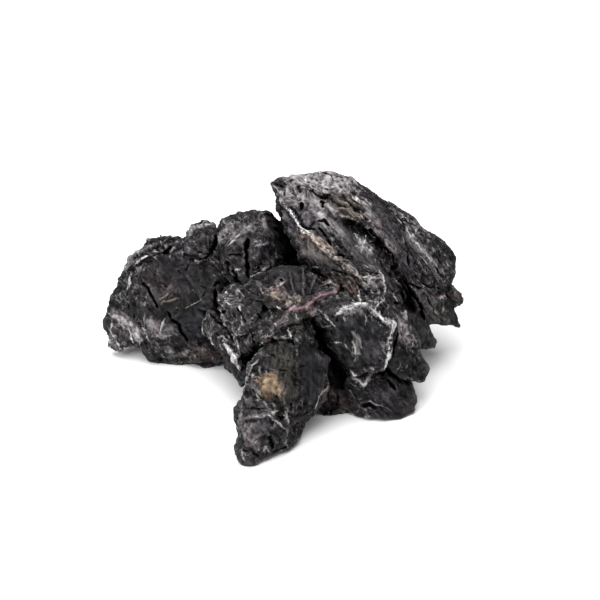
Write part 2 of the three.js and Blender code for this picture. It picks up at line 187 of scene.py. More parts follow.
# Ridges and lumps that stand proud of it
SWELLS = {
    "rim of the shoulder": ([(128, 262), (138, 252), (150, 246), (164, 241), (176, 238)], 6.0, 1.2),
    "chip by the notch": ([(175, 249), (173, 254)], 3.0, 1.4),
    "purple lump on the slab": ([(307, 215), (308, 224)], 12.0, 3.2),
    "left lump on the slab": ([(295, 203), (298, 207)], 7.0, 2.2),
    "streaked face on the slab": ([(322, 212), (324, 219)], 9.0, 1.8),
    "tan face": ([(342, 210), (350, 213), (358, 220)], 11.0, 1.2),
    "cream block": ([(349, 197), (354, 200), (358, 204)], 8.0, 2.8),
    "bit right of the tan face": ([(360, 214), (362, 220)], 4.6, 1.3),
    "arris of the slab": (
        [(280, 199), (285, 205), (289, 211), (295, 218), (300, 225), (304, 230)], 3.6, 1.1),
    "cream end of the arris": ([(303, 231), (309, 235)], 5.4, 1.2),
    "tan band": ([(308, 236), (318, 243), (328, 251), (336, 258)], 8.0, 1.8),
    "lower tan band": ([(340, 258), (346, 265), (353, 273), (359, 280)], 8.0, 2.4),
    "bar over the inner slab": ([(358, 277), (368, 278), (379, 278)], 4.0, 1.2),
    "spur on the bar": ([(377, 270), (382, 276), (384, 285), (386, 294)], 3.0, 0.9),
    "pale lump on the shoulder": ([(137, 332), (138, 336)], 9.0, 1.8),
    "left shoulder foot": ([(114, 317), (122, 320), (132, 326)], 7.0, 1.4),
    "olive ridges": ([(161, 299), (166, 297), (170, 293)], 2.8, 1.0),
    "lower olive ridge": ([(163, 303), (170, 301), (177, 299)], 2.8, 1.0),
    "thin ridge on the shoulder": ([(171, 309), (181, 309), (188, 307), (194, 303), (200, 300)], 2.2, 0.7),
    "rib by the lower slit": ([(165, 320), (163, 326), (161, 332)], 3.2, 1.2),
    "cream blob": ([(326, 284), (331, 283), (336, 287)], 9.0, 2.6),
    "pink seam": (
        [(330, 293), (322, 294), (316, 298), (311, 303), (307, 307), (299, 308), (291, 309)], 3.4, 0.9),
    "pale line under the seam": ([(287, 315), (282, 321), (276, 324), (272, 331), (268, 337)], 2.8, 0.8),
    "first rib of the fan": ([(304, 271), (305, 283), (303, 296)], 3.8, 1.7),
    "second rib of the fan": ([(291, 272), (292, 282), (296, 294)], 3.6, 1.7),
    "third rib of the fan": ([(281, 284), (286, 291), (291, 298)], 4.2, 1.6),
    "fourth rib of the fan": ([(318, 273), (314, 284), (310, 294)], 3.6, 1.5),
    "fifth rib of the fan": ([(270, 288), (275, 296), (282, 302)], 4.2, 1.6),
    "left crag": ([(256, 281), (258, 288), (263, 295)], 3.0, 0.9),
    "top edge of the fan": ([(300, 269), (306, 270)], 2.6, 0.9),
    "bright chip of the fan": ([(311, 267), (316, 268), (322, 271)], 3.0, 1.0),
    "ochre patch": ([(266, 381), (271, 382), (272, 387), (267, 387)], 14.0, 1.2),
    "knob at the tip": ([(246, 459), (250, 462)], 9.0, 1.2),
    "rim over the toe": ([(246, 418), (255, 417), (265, 417), (272, 414)], 4.0, 1.2),
    "knot on the toe's rim": ([(270, 415), (273, 415)], 5.4, 1.3),
    "left rim of the buttress": ([(258, 360), (252, 366), (249, 375), (246, 381)], 3.6, 1.0),
    "right rim of the buttress": ([(330, 386), (322, 392), (317, 402), (313, 415)], 2.8, 0.9),
    "white rim of the block": ([(339, 311), (344, 307), (351, 307), (358, 305), (367, 304)], 4.6, 1.2),
    "thick vein": (
        [(371, 307), (377, 313), (383, 319), (392, 323), (391, 334), (390, 347), (386, 362)], 4.0, 1.1),
    "loop": ([(375, 311), (377, 306), (383, 301), (384, 297)], 2.2, 0.8),
    "wedge": ([(226, 344), (232, 352), (238, 362)], 5.6, 1.3),
    "lens's edge": ([(207, 314), (203, 320), (202, 328), (205, 335)], 2.8, 0.8),
    "bead on the flank": ([(405, 313), (405, 319)], 6.0, 1.8),
    "ring on the flake": ([(393, 292), (397, 289), (403, 291), (405, 298)], 2.4, 0.9),
    "V at the block's foot": ([(352, 373), (357, 378), (363, 385), (368, 377)], 3.6, 1.0),
    "rim line of the base": ([(362, 402), (371, 401), (380, 406), (390, 411)], 3.4, 1.0),
}

# Steps in the surface: its side above a path from left to right stands up, the side below it drops
LEDGES = {
    "under the mottled top": (
        [(309, 188), (316, 194), (322, 196), (330, 198), (338, 203), (345, 206)], 8.0, 2.0),
    "under the cream block": ([(344, 196), (348, 201), (354, 206), (360, 209)], 6.0, 1.8),
    "under the tan face": ([(339, 215), (347, 219), (354, 224), (362, 227)], 7.0, 1.3),
    "outer lip of the cleft": ([(368, 230), (378, 241), (388, 253), (396, 266), (404, 280)], 8.0, 1.8),
    "foot of the tan band": ([(303, 233), (313, 241), (325, 253), (336, 262), (346, 272)], 7.0, 1.5),
    "under the shoulder's rim": ([(130, 270), (138, 263), (148, 258), (160, 253), (172, 247)], 6.0, 0.7),
    "over the buttress": ([(262, 343), (270, 339), (280, 339), (292, 340)], 6.0, 1.6),
    "foot of the block": ([(366, 371), (374, 371), (383, 372), (392, 385)], 7.0, 1.8),
    "edge of the centre": ([(216, 290), (218, 302), (222, 312)], 6.0, 1.1),
    "edge of the wedge": ([(220, 338), (228, 344), (236, 352), (242, 366)], 5.0, -1.0),
    "over the toe": ([(246, 420), (256, 419), (266, 419), (276, 422)], 6.0, 1.0),
}

# Veins and stains, by the mineral that fills or coats them, with painted light and shade among them:
# a near-black laid in gaps where shade falls, and a paler grey laid on the dome's shaded side
MARKINGS = {
    "calcite": {
        "cream block's light": ([(349, 196), (355, 199), (360, 204)], 6.5, 0.7),
        "light in the cream blob": ([(327, 283), (331, 283)], 4.0, 0.9),
        "star's short rays": ([(372, 241), (365, 244), (365, 236)], 1.5, 0.7),
        "star's left ray": ([(356, 246), (363, 244)], 1.5, 0.7),
        "knot in the thick vein": ([(389, 322), (394, 326)], 6.0, 1.0),
        "blotch right of the knot": ([(399, 322), (402, 327)], 3.0, 0.7),
        "long vein behind": ([(-62, 139, 95), (-44, 144, 62), (-34, 144, 32), (-12, 139, 4)], 2.6, 0.9),
        "branch of the long vein": ([(-42, 144, 60), (-12, 144, 68), (18, 139, 88)], 2.0, 0.8),
        "vein at the right end": ([(118, 110, 70), (124, 96, 46), (120, 90, 16)], 2.4, 0.8),
        "vein at the left end": ([(-112, 104, 62), (-118, 98, 40), (-104, 112, 16)], 2.4, 0.8),
        "vein over the slab's back": ([(52, 70, 140), (72, 100, 112), (92, 132, 70)], 2.6, 0.9),
        "foot of the slab's back": ([(92, 132, 70), (84, 139, 42), (98, 134, 14)], 2.0, 0.7),
        "slab's white corner": ([(275, 187), (278, 190)], 1.8, 0.8),
        "arris vein": ([(280, 199), (284, 204), (288, 209), (294, 216), (299, 223), (302, 228)], 2.3, 1.0),
        "cream end of the arris vein": ([(300, 228), (305, 232), (310, 235)], 5.4, 0.9),
        "light in the mottling": ([(304, 179), (310, 183), (312, 188)], 6.0, 0.5),
        "second light in the mottling": ([(328, 176), (333, 181), (338, 185)], 2.4, 0.6),
        "third light in the mottling": ([(320, 190), (323, 192)], 3.0, 0.6),
        "spot on the slab's corner": ([(299, 196), (303, 198)], 3.0, 0.6),
        "streak in the tan band": ([(316, 243), (322, 249), (328, 255)], 1.6, 0.7),
        "bright streak in the tan band": ([(328, 246), (332, 250), (335, 253)], 2.4, 0.9),
        "streak in the lower band": ([(341, 260), (347, 267), (354, 275)], 2.2, 0.6),
        "bar over the inner slab": ([(358, 277), (368, 278), (379, 278)], 3.4, 0.85),
        "spur": ([(377, 270), (382, 276), (384, 285), (386, 295)], 2.6, 1.0),
        "upright dash": ([(375, 254), (375, 259)], 1.3, 0.8),
        "dash on the inner slab": ([(363, 265), (369, 267)], 1.6, 0.7),
        "faint streak on the inner slab": ([(370, 263), (376, 271)], 1.3, 0.5),
        "star's core": ([(363, 242), (365, 246)], 6.0, 1.0),
        "star's long ray": ([(354, 234), (359, 239), (364, 244)], 2.2, 0.95),
        "star's other rays": ([(361, 252), (364, 245), (370, 251)], 2.0, 0.9),
        "short white vein": ([(357, 289), (359, 295), (360, 301)], 2.0, 1.0),
        "rim vein": ([(343, 308), (350, 308), (354, 305), (361, 304), (368, 304)], 4.6, 0.9),
        "broad part of the rim": ([(362, 304), (366, 305), (367, 309)], 7.0, 0.8),
        "crumbs by the rim": ([(337, 314), (340, 312), (343, 311)], 3.0, 0.8),
        "crumb below the rim": ([(343, 317), (344, 319)], 1.6, 0.7),
        "drip from the rim": ([(366, 311), (366, 317), (365, 323)], 1.1, 0.5),
        "thick vein": ([(369, 304), (373, 309), (378, 315), (384, 320), (391, 322)], 3.8, 0.95),
        "thick vein's turn": ([(389, 321), (394, 323), (394, 328), (391, 334)], 6.4, 1.0),
        "thick vein's leg": ([(391, 334), (389, 341), (390, 347), (388, 355), (386, 365)], 4.2, 1.0),
        "loop": ([(375, 311), (377, 306), (382, 302), (386, 300), (384, 296), (381, 295)], 1.8, 0.9),
        "ring's right side": ([(396, 280), (401, 286), (404, 292), (405, 299)], 2.0, 0.75),
        "ring's left side": ([(394, 291), (393, 297), (397, 301)], 1.5, 0.5),
        "branching vein": (
            [(408, 229), (412, 237), (417, 244), (421, 249), (428, 256), (431, 261)], 2.0, 0.9),
        "branch": ([(413, 236), (416, 231), (418, 227)], 1.5, 0.7),
        "vein's second line": ([(419, 254), (425, 261), (430, 265)], 1.5, 0.6),
        "streak on the outer slab": ([(393, 213), (398, 219), (401, 224)], 1.5, 0.6),
        "spot on the outer rim": ([(402, 217), (405, 217)], 2.4, 0.6),
        "spots on the outer slab": ([(404, 237), (405, 247)], 1.6, 0.5),
        "V's left arm": ([(351, 372), (355, 376), (359, 381), (362, 385)], 4.6, 0.9),
        "V's right arm": ([(363, 385), (366, 380), (369, 375)], 4.2, 0.9),
        "diagonal on the block": ([(320, 310), (324, 313), (330, 320), (335, 326)], 2.0, 0.7),
        "dash on the block": ([(324, 326), (330, 326)], 1.7, 0.4),
        "speck on the block": ([(335, 342), (336, 342)], 2.0, 0.9),
        "lace on the facet": ([(352, 331), (356, 336), (361, 341)], 1.6, 0.7),
        "lace's left side": ([(355, 336), (354, 342), (356, 348), (355, 355)], 1.8, 0.8),
        "lace's right side": ([(358, 337), (361, 343), (363, 347)], 1.8, 0.7),
        "faint line on the facet": ([(345, 344), (350, 350), (353, 355)], 1.1, 0.4),
        "arc on the facet": ([(373, 328), (374, 333)], 1.3, 0.6),
        "right arc on the facet": ([(383, 350), (386, 355)], 1.6, 0.6),
        "wedge vein": ([(225, 342), (230, 348), (236, 357), (241, 368)], 3.6, 0.85),
        "hook over the wedge": ([(220, 343), (219, 338), (223, 336), (228, 339)], 1.9, 0.9),
        "second wedge line": ([(236, 338), (239, 344), (241, 350)], 1.3, 0.5),
        "lens outline": ([(207, 314), (203, 320), (202, 328), (204, 334), (209, 338)], 1.6, 0.75),
        "lens streak": ([(211, 326), (212, 333), (210, 339), (214, 346)], 2.0, 0.8),
        "Y": ([(232, 324), (233, 329), (234, 333), (230, 335)], 1.6, 0.8),
        "arm of the Y": ([(233, 332), (237, 335)], 1.5, 0.8),
        "edge of the speckle": ([(218, 293), (220, 300), (224, 307)], 1.6, 0.7),
        "bright spot in the speckle": ([(226, 292), (228, 293)], 2.4, 0.9),
        "dash in the speckle": ([(226, 302), (231, 304)], 1.9, 0.9),
        "upper dash in the speckle": ([(226, 298), (233, 298)], 1.5, 0.7),
        "upright dash in the speckle": ([(240, 290), (243, 297)], 1.7, 0.7),
        "lower spot in the speckle": ([(239, 308), (240, 312)], 2.0, 0.8),
        "diagonal in the speckle": ([(232, 316), (236, 321)], 2.0, 0.6),
        "dome streak": ([(252, 277), (257, 274), (262, 270), (268, 267), (274, 262)], 1.9, 0.8),
        "bright part of the dome streak": ([(258, 273), (262, 271)], 3.0, 1.0),
        "upper dome streak": ([(256, 267), (264, 265), (269, 261), (272, 258)], 1.6, 0.5),
        "dome side streak": ([(276, 244), (277, 250), (276, 258)], 2.0, 0.55),
        "dome mottling streak": ([(230, 244), (233, 240), (237, 236), (240, 234)], 2.2, 0.6),
        "dots on the dome": ([(255, 246), (260, 244), (267, 245)], 2.0, 0.45),
        "spot on the dome's foot": ([(243, 253), (245, 252)], 1.8, 0.6),
        "spot over the hole": ([(237, 270), (239, 269)], 1.8, 0.7),
        "toe vein": ([(246, 418), (255, 417), (264, 417), (270, 416)], 2.0, 0.6),
        "bright knot in the toe vein": ([(268, 417), (271, 415), (274, 413)], 5.0, 0.75),
        "toe vein's tail": ([(273, 421), (280, 424), (286, 430), (286, 437)], 2.2, 0.5),
        "speckle over the toe": ([(244, 419), (246, 424)], 2.0, 0.6),
        "line in the toe": ([(264, 401), (267, 407)], 1.4, 0.4),
        "corner in the toe": ([(263, 450), (265, 446), (267, 451)], 2.0, 0.7),
        "spots in the toe": ([(252, 446), (256, 441)], 2.0, 0.5),
        "tip of the toe": ([(241, 452), (242, 458), (244, 462)], 2.0, 0.5),
        "white dash by the ochre patch": ([(257, 395), (260, 399)], 2.2, 1.0),
        "left rim of the buttress": ([(258, 361), (252, 366), (250, 374), (246, 381)], 2.0, 0.55),
        "right rim of the buttress": ([(330, 385), (322, 392), (317, 402), (313, 415)], 1.7, 0.45),
        "line under the seam": ([(287, 315), (282, 321), (276, 324), (272, 331), (268, 337)], 1.8, 0.55),
        "white foot of that line": ([(260, 343), (264, 340)], 2.8, 1.0),
        "cream drop": ([(288, 328), (290, 333), (292, 338)], 2.0, 0.95),
        "line right of the olive": ([(296, 314), (298, 320)], 1.5, 0.6),
        "spot left of the seam": ([(278, 307), (281, 309)], 2.2, 0.7),
        "streak on the centre": ([(268, 310), (271, 316)], 1.8, 0.5),
        "shoulder streak": ([(137, 263), (140, 260), (147, 257)], 2.0, 0.85),
        "chip by the notch": ([(174, 250), (172, 254)], 1.4, 0.6),
        "shoulder dot": ([(153, 252), (156, 252)], 1.7, 0.8),
        "left edge streak": ([(130, 279), (128, 286)], 2.2, 0.8),
        "thin line on the shoulder": (
            [(171, 308), (180, 309), (188, 307), (194, 303), (200, 300)], 1.2, 0.5),
        "white spot": ([(197, 260), (200, 260)], 2.6, 1.0),
        "fringe of the white spot": ([(196, 265), (199, 264)], 1.5, 0.5),
        "left foot edge": ([(112, 317), (111, 328), (113, 338)], 1.8, 0.6),
        "left foot streaks": ([(114, 335), (118, 345)], 2.4, 0.6),
        "left foot bright line": ([(129, 331), (131, 336), (133, 341)], 2.0, 0.9),
        "blush line at the slit": ([(161, 336), (166, 337), (172, 336)], 2.0, 0.6),
        "rib by the slit": ([(165, 320), (163, 326), (161, 332)], 1.9, 0.5),
        "dots by the slit": ([(145, 326), (145, 313)], 1.4, 0.5),
        "knob's white top": ([(201, 224), (207, 225)], 2.4, 0.6),
        "first fan line": ([(304, 271), (305, 283), (303, 296)], 1.5, 0.35),
        "second fan line": ([(291, 272), (292, 282), (296, 294)], 1.3, 0.35),
        "third fan line": ([(257, 283), (261, 291), (264, 295)], 1.2, 0.3),
        "fourth fan line": ([(318, 273), (312, 272), (309, 269)], 1.2, 0.4),
        "fan's pale spot": ([(279, 286), (282, 284)], 3.2, 0.8),
        "fan top": ([(309, 268), (314, 267), (323, 271)], 1.8, 0.7),
        "rim line of the base": ([(362, 402), (371, 401), (380, 406), (390, 411)], 2.0, 0.35),
        "line in the recess": ([(350, 390), (355, 397), (360, 401)], 1.4, 0.35),
        "dots on the flake": ([(425, 297), (428, 303)], 1.4, 0.5),
        "spot on the flake": ([(435, 311), (438, 314)], 2.0, 0.5),
        "streak by the knob": ([(444, 304), (444, 318)], 1.5, 0.45),
        "pale end of the flake": ([(440, 297), (445, 296)], 2.4, 0.7),
        "line on the flank": ([(398, 320), (400, 331), (401, 341)], 1.8, 0.6),
        "small loop on the flank": ([(407, 345), (410, 348), (413, 343)], 1.5, 0.4),
        "dashes on the outer slab": ([(434, 261), (437, 267)], 2.0, 0.5),
        "dash by the outer edge": ([(447, 262), (448, 267)], 1.8, 0.5),
        "long line on the outer slab": ([(432, 271), (439, 278), (447, 286)], 1.5, 0.4),
    },
    "pink seam": {
        "pink seam": ([(307, 307), (299, 308), (293, 308), (288, 311)], 4.6, 1.0),
        "seam's pale part": ([(329, 293), (322, 294), (316, 298), (311, 303), (307, 307)], 5.0, 1.0),
        "seam to the slab": ([(345, 287), (338, 290), (329, 293)], 3.0, 0.5),
        "pale block under the seam": ([(312, 304), (314, 314)], 4.0, 0.5),
        "seam's lower end": ([(288, 311), (283, 318), (276, 324)], 2.4, 0.4),
        "seam's foot": ([(270, 335), (265, 338)], 2.6, 0.6),
        "left foot blush": ([(152, 323), (156, 330), (160, 336)], 6.0, 0.5),
        "toe blush": ([(246, 424), (250, 436), (254, 446)], 8.0, 0.15),
        "flank blush": ([(400, 324), (404, 334), (407, 342)], 7.0, 0.45),
        "edge of the fan's patch": ([(270, 289), (276, 288), (283, 290)], 3.4, 0.8),
        "lip of the cleft": ([(371, 222), (377, 228), (383, 236)], 3.0, 0.4),
        "knob blush": ([(437, 296), (447, 295)], 3.0, 0.5),
    },
    "tan": {
        "cream spot on the fan": ([(297, 296), (300, 299)], 5.0, 0.8),
        "fan's brown rays": ([(284, 288), (290, 296), (296, 302)], 3.0, 0.6),
        "cream bits by the ochre patch": ([(258, 391), (261, 394)], 2.4, 0.8),
        "tan right of the ochre patch": ([(280, 392), (284, 402)], 5.0, 0.45),
        "band on the slab's back": ([(70, 132, 90), (48, 139, 66), (30, 139, 44)], 8.0, 0.8),
        "band on the shoulder's back": ([(-96, 90, 52), (-84, 100, 34)], 6.0, 0.6),
        "tan band": ([(305, 235), (314, 240), (324, 247), (334, 256)], 11.0, 1.0),
        "lower tan band": ([(338, 258), (346, 265), (353, 273), (360, 280)], 7.5, 1.0),
        "tan face": ([(343, 207), (350, 211), (358, 217)], 15.0, 0.5),
        "thin cream line": ([(341, 215), (348, 217), (356, 220)], 2.4, 1.0),
        "cream block": ([(349, 196), (355, 200), (360, 204)], 7.0, 1.0),
        "cream bits": ([(360, 212), (362, 214), (366, 219)], 4.0, 1.0),
        "cream blob": ([(325, 284), (330, 282), (335, 286)], 6.5, 1.0),
        "brownish mottling": ([(328, 193), (338, 194), (345, 193)], 5.0, 0.5),
        "olive ridges": ([(161, 299), (166, 297), (170, 293)], 2.6, 0.4),
        "lower olive ridge": ([(163, 303), (170, 301), (177, 299)], 2.8, 0.4),
        "fan patch": ([(272, 292), (280, 294), (288, 298), (292, 302)], 10.0, 0.85),
        "seam from the lip": ([(365, 219), (370, 224)], 4.0, 0.5),
        "olive line": ([(411, 326), (414, 334), (417, 344)], 2.0, 0.55),
        "rust-edged dash": ([(222, 317), (227, 320), (232, 323)], 2.2, 0.9),
        "dash by the Y": ([(241, 319), (243, 325)], 2.6, 0.8),
        "line down from the loop": ([(387, 302), (388, 308), (388, 314)], 1.7, 0.9),
        "recess streak": ([(333, 392), (334, 405)], 2.4, 0.4),
        "brown side of the toe": ([(283, 384), (284, 398), (283, 408)], 4.0, 0.3),
        "slab's foot": ([(300, 246), (308, 256)], 6.0, 0.25),
    },
    "ochre": {
        "ochre patch": ([(266, 380), (271, 381), (273, 387), (268, 389), (265, 385)], 15.0, 1.0),
    },
    "rust": {
        "stain behind": ([(0, 144, 60), (14, 144, 40)], 12.0, 0.7),
        "rust on the centre": ([(228, 314), (231, 312)], 3.0, 0.7),
        "rust behind the seam": ([(338, 288), (346, 286), (354, 292)], 12.0, 0.9),
        "foot of the shoulder": ([(184, 354), (200, 352), (214, 354)], 10.0, 0.6),
        "recess": ([(324, 392), (334, 400), (346, 406)], 14.0, 0.6),
        "knob": ([(450, 292), (456, 296)], 7.0, 0.5),
        "shoulder's middle": ([(150, 282), (160, 288), (170, 290)], 14.0, 0.25),
        "under the tan band": ([(340, 270), (350, 272)], 5.0, 0.5),
        "ledge": ([(312, 191), (326, 197), (342, 205)], 3.0, 0.5),
    },
    "pale crust": {
        "slab's whole top": ([(296, 178), (312, 179), (330, 180), (350, 186)], 18.0, 0.6),
        "cream block's face": ([(348, 196), (353, 199), (358, 203)], 6.0, 0.9),
        "wedge's face": ([(228, 346), (233, 354), (239, 366)], 6.0, 0.85),
        "fan's panes": ([(276, 284), (286, 280)], 8.0, 0.1),
        "below the bar": ([(362, 284), (372, 286)], 8.0, 0.3),
        "slab's back": ([(30, 124, 118), (52, 129, 100), (70, 129, 96)], 20.0, 0.8),
        "left end": ([(-120, 96, 44), (-116, 110, 26)], 16.0, 0.7),
        "right end": ([(124, 100, 40), (120, 112, 26)], 18.0, 0.6),
        "low behind": ([(-20, 144, 30), (6, 144, 24)], 14.0, 0.7),
        "slab's mottled top": ([(304, 179), (314, 182), (326, 185), (338, 187)], 14.0, 1.0),
        "slab's upper edge": ([(330, 174), (340, 178), (352, 182)], 9.0, 0.6),
        "slab's corner": ([(283, 190), (292, 194), (300, 198)], 12.0, 0.6),
        "slab's streaked face": ([(312, 200), (318, 212), (324, 224)], 12.0, 0.5),
        "slab's grey face": ([(330, 208), (333, 220), (339, 234)], 11.0, 0.45),
        "around the cream block": ([(362, 200), (366, 208), (368, 216)], 7.0, 0.6),
        "star's glow": ([(364, 243), (365, 247)], 10.0, 0.6),
        "glow under the rim": ([(340, 309), (350, 311), (362, 310)], 5.0, 0.65),
        "lace's glow": ([(356, 336), (358, 344), (357, 352)], 6.0, 0.6),
        "right blotch on the facet": ([(381, 345), (384, 351)], 4.6, 0.5),
        "speckle on the centre": ([(222, 296), (230, 301), (240, 306)], 12.0, 0.12),
        "bead on the flank": ([(405, 313), (405, 320)], 6.0, 0.9),
        "flank": ([(398, 322), (404, 332), (408, 340)], 8.0, 0.55),
        "left foot band": ([(114, 317), (122, 321), (132, 327)], 7.0, 0.95),
        "left foot lump": ([(136, 331), (138, 337)], 9.0, 1.0),
        "left foot corner": ([(112, 334), (116, 343)], 8.0, 0.6),
        "left foot blotches": ([(150, 322), (157, 331), (164, 335)], 11.0, 0.6),
        "by the lower slit": ([(167, 326), (173, 331)], 7.0, 0.4),
        "shoulder rim": ([(128, 268), (130, 258), (138, 254)], 6.0, 0.4),
        "patch under the rim": ([(138, 272), (141, 268)], 5.0, 0.6),
        "knob's top": ([(188, 228), (197, 225), (207, 225)], 6.0, 0.5),
        "knob's left side": ([(186, 238), (190, 232)], 5.0, 0.4),
        "dome's left side": ([(220, 240), (224, 234), (230, 226)], 7.0, 0.5),
        "dome's upper side": ([(232, 238), (240, 230), (250, 226)], 10.0, 0.35),
        "outer slab speckle": ([(412, 230), (420, 244), (430, 258)], 14.0, 0.35),
        "outer slab lower speckle": ([(430, 262), (444, 272)], 9.0, 0.3),
        "outer rim": ([(392, 208), (404, 216), (418, 226), (430, 236)], 4.0, 0.5),
        "slab's inner lip": ([(372, 224), (380, 234), (388, 246)], 5.0, 0.35),
        "lens": ([(206, 322), (208, 332), (213, 343)], 6.0, 0.4),
        "toe's speckle": ([(244, 430), (250, 440), (258, 446)], 9.0, 0.15),
        "toe's left rim": ([(243, 406), (241, 420), (240, 434)], 4.0, 0.4),
        "foot of the shoulder": ([(168, 350), (176, 354), (188, 352)], 7.0, 0.5),
        "block's left edge": ([(316, 312), (322, 324), (320, 330)], 6.0, 0.35),
        "buttress's top": ([(262, 353), (268, 354)], 4.6, 0.4),
    },
    "grey bed": {
        # Painted light: a paler grey laid on the dome's side, which lies in the slab's shadow, to lift its
        # shade
        "painted light on the dome's shaded side": ([(266, 220), (273, 232), (279, 248)], 16.0, 1.0),
        "slab's calm face": ([(346, 234), (358, 250), (370, 262), (384, 278)], 16.0, 0.35),
        "flake": ([(420, 296), (432, 308), (444, 318)], 14.0, 0.35),
        "slab's top": ([(296, 178), (312, 180), (330, 182), (350, 188)], 20.0, 0.8),
        "slab's streaked faces": ([(314, 198), (320, 208), (325, 220)], 13.0, 1.0),
        "slab's inner face": ([(331, 206), (334, 219), (340, 233)], 11.0, 0.9),
        "slab's corner": ([(284, 192), (292, 198), (300, 206)], 10.0, 0.6),
        "slab's left face": ([(290, 222), (298, 236)], 6.0, 0.5),
        "slab's foot": ([(304, 248), (314, 257), (328, 262)], 12.0, 0.55),
        "right of the tan face": ([(364, 202), (370, 214), (378, 224)], 8.0, 0.7),
        "outer slab's lip": ([(384, 232), (392, 246), (398, 256)], 7.0, 0.6),
        "outer slab's flank": ([(408, 236), (420, 250), (434, 262)], 12.0, 0.4),
        "left foot's band": ([(114, 317), (122, 321), (132, 327)], 11.0, 1.0),
        "left foot's lump": ([(136, 331), (138, 337)], 10.0, 1.0),
        "left foot's rise": ([(150, 324), (158, 332)], 11.0, 0.5),
        "dome's upper side": ([(236, 232), (246, 226)], 10.0, 0.6),
        "dome's left side": ([(221, 240), (226, 232)], 8.0, 0.5),
        "knob's top": ([(190, 230), (200, 226)], 6.0, 0.6),
        "shoulder's rim": ([(128, 268), (134, 256), (150, 246)], 5.0, 0.4),
        "wedge": ([(228, 346), (233, 354), (239, 366)], 6.0, 0.9),
        "flank": ([(400, 322), (405, 334), (406, 342)], 9.0, 0.85),
        "bar": ([(356, 279), (368, 281), (379, 283)], 9.0, 0.8),
        "under the rim": ([(344, 310), (356, 309), (366, 309)], 6.0, 0.5),
        "block under the seam": ([(312, 304), (314, 314)], 5.0, 0.8),
        "line above the buttress": ([(272, 334), (284, 322)], 5.0, 0.4),
        "toe's rim": ([(244, 420), (258, 418), (270, 416)], 5.0, 0.4),
        "toe": ([(248, 436), (256, 444)], 10.0, 0.1),
        "behind": ([(-30, 144, 84), (0, 144, 78)], 20.0, 0.6),
        "left end": ([(-120, 92, 56), (-112, 112, 34)], 16.0, 0.6),
        "right end": ([(126, 96, 60), (120, 110, 40)], 16.0, 0.6),
    },
    "purple": {
        "behind the slab": ([(100, 129, 60), (70, 139, 30)], 34.0, 0.9),
        "behind the shoulder": ([(-90, 100, 60), (-70, 129, 30)], 30.0, 0.9),
        "purple lump": ([(306, 214), (308, 224)], 12.0, 1.0),
        "slab's corner": ([(288, 200), (296, 206), (300, 214)], 8.0, 0.7),
        "slab's left face": ([(286, 214), (292, 226), (300, 240)], 8.0, 1.0),
        "slab's purple top": ([(342, 181), (352, 184), (354, 190)], 9.0, 1.0),
        "outer slab": ([(378, 206), (388, 226), (398, 246), (410, 268)], 12.0, 0.6),
        "left foot": ([(118, 330), (126, 336)], 12.0, 1.0),
        "toe": ([(244, 404), (250, 424), (262, 432)], 16.0, 0.6),
        "beside the ochre patch": ([(252, 383), (256, 392)], 6.0, 0.8),
        "under the ochre patch": ([(264, 398), (272, 404)], 6.0, 0.8),
        "block's middle": ([(368, 345), (374, 356)], 10.0, 0.7),
        "block's upper facet": ([(354, 320), (360, 326)], 8.0, 0.5),
        "base": ([(378, 392), (396, 398)], 14.0, 0.6),
        "dome": ([(236, 246), (242, 240)], 8.0, 0.6),
        "dome's face": ([(256, 250), (266, 254)], 10.0, 0.6),
        "buttress's right edge": ([(316, 354), (321, 366)], 6.0, 0.7),
        "fan's dark panes": ([(296, 276), (298, 284)], 5.0, 0.8),
        "fan's right pane": ([(312, 284), (316, 288)], 7.0, 0.7),
    },
    "olive": {
        "fan patch": ([(268, 296), (278, 299), (288, 304)], 11.0, 0.9),
        "behind the middle": ([(-20, 144, 80), (10, 144, 50)], 30.0, 0.9),
        "at the right end": ([(130, 40, 70), (128, 60, 40)], 26.0, 0.8),
        "middle of the shoulder": ([(162, 296), (170, 300), (178, 302)], 10.0, 0.8),
        "knob": ([(202, 238), (206, 246)], 9.0, 0.8),
        "buttress": ([(276, 346), (284, 372), (292, 400)], 20.0, 1.0),
        "flake": ([(424, 308), (434, 316), (448, 318)], 11.0, 1.0),
        "tan face's shade": ([(346, 207), (354, 216), (360, 222)], 9.0, 0.5),
        "slab's face": ([(318, 206), (324, 208)], 8.0, 0.6),
        "slab's left foot": ([(302, 248), (310, 258), (320, 262)], 9.0, 0.9),
        "under the seam": ([(290, 320), (294, 326), (303, 318)], 8.0, 1.0),
        "over the buttress": ([(268, 344), (284, 344)], 8.0, 0.6),
        "toe's right": ([(292, 418), (304, 412)], 9.0, 1.0),
        "knob at the tip": ([(246, 460), (250, 463)], 7.0, 1.0),
        "outer slab's brown streak": ([(432, 274), (444, 286)], 5.0, 0.6),
    },
    # Painted shade, not a mineral: a near-black laid in gaps, under ledges and beside lumps where shade
    # falls
    "painted_shade": {
        "block's left side": ([(317, 322), (324, 338), (331, 354), (337, 370)], 13.0, 0.9),
        "gap left of the V": ([(336, 374), (340, 386)], 9.0, 0.7),
        "under the tan face": ([(352, 223), (364, 229), (374, 240)], 3.0, 0.7),
        "foot of the dome": ([(286, 232), (294, 246), (303, 262)], 5.0, 0.8),
        "slit under the block": ([(366, 372), (384, 373)], 3.0, 0.7),
        "beside the knob": ([(214, 238), (213, 250)], 4.0, 0.5),
        "recess's top": ([(326, 382), (336, 386)], 8.0, 0.6),
        "low behind": ([(40, 144, 20), (66, 140, 30)], 12.0, 0.6),
    },
    "smooth face": {
        "broken face behind": ([(-50, 144, 60), (-60, 139, 30)], 34.0, 1.0),
        "broken face on the slab's back": ([(20, 139, 90), (30, 142, 60)], 30.0, 1.0),
        "block's facet": ([(350, 322), (366, 330), (374, 350)], 26.0, 1.0),
        "shoulder's facet": ([(184, 316), (194, 324), (196, 332)], 16.0, 1.0),
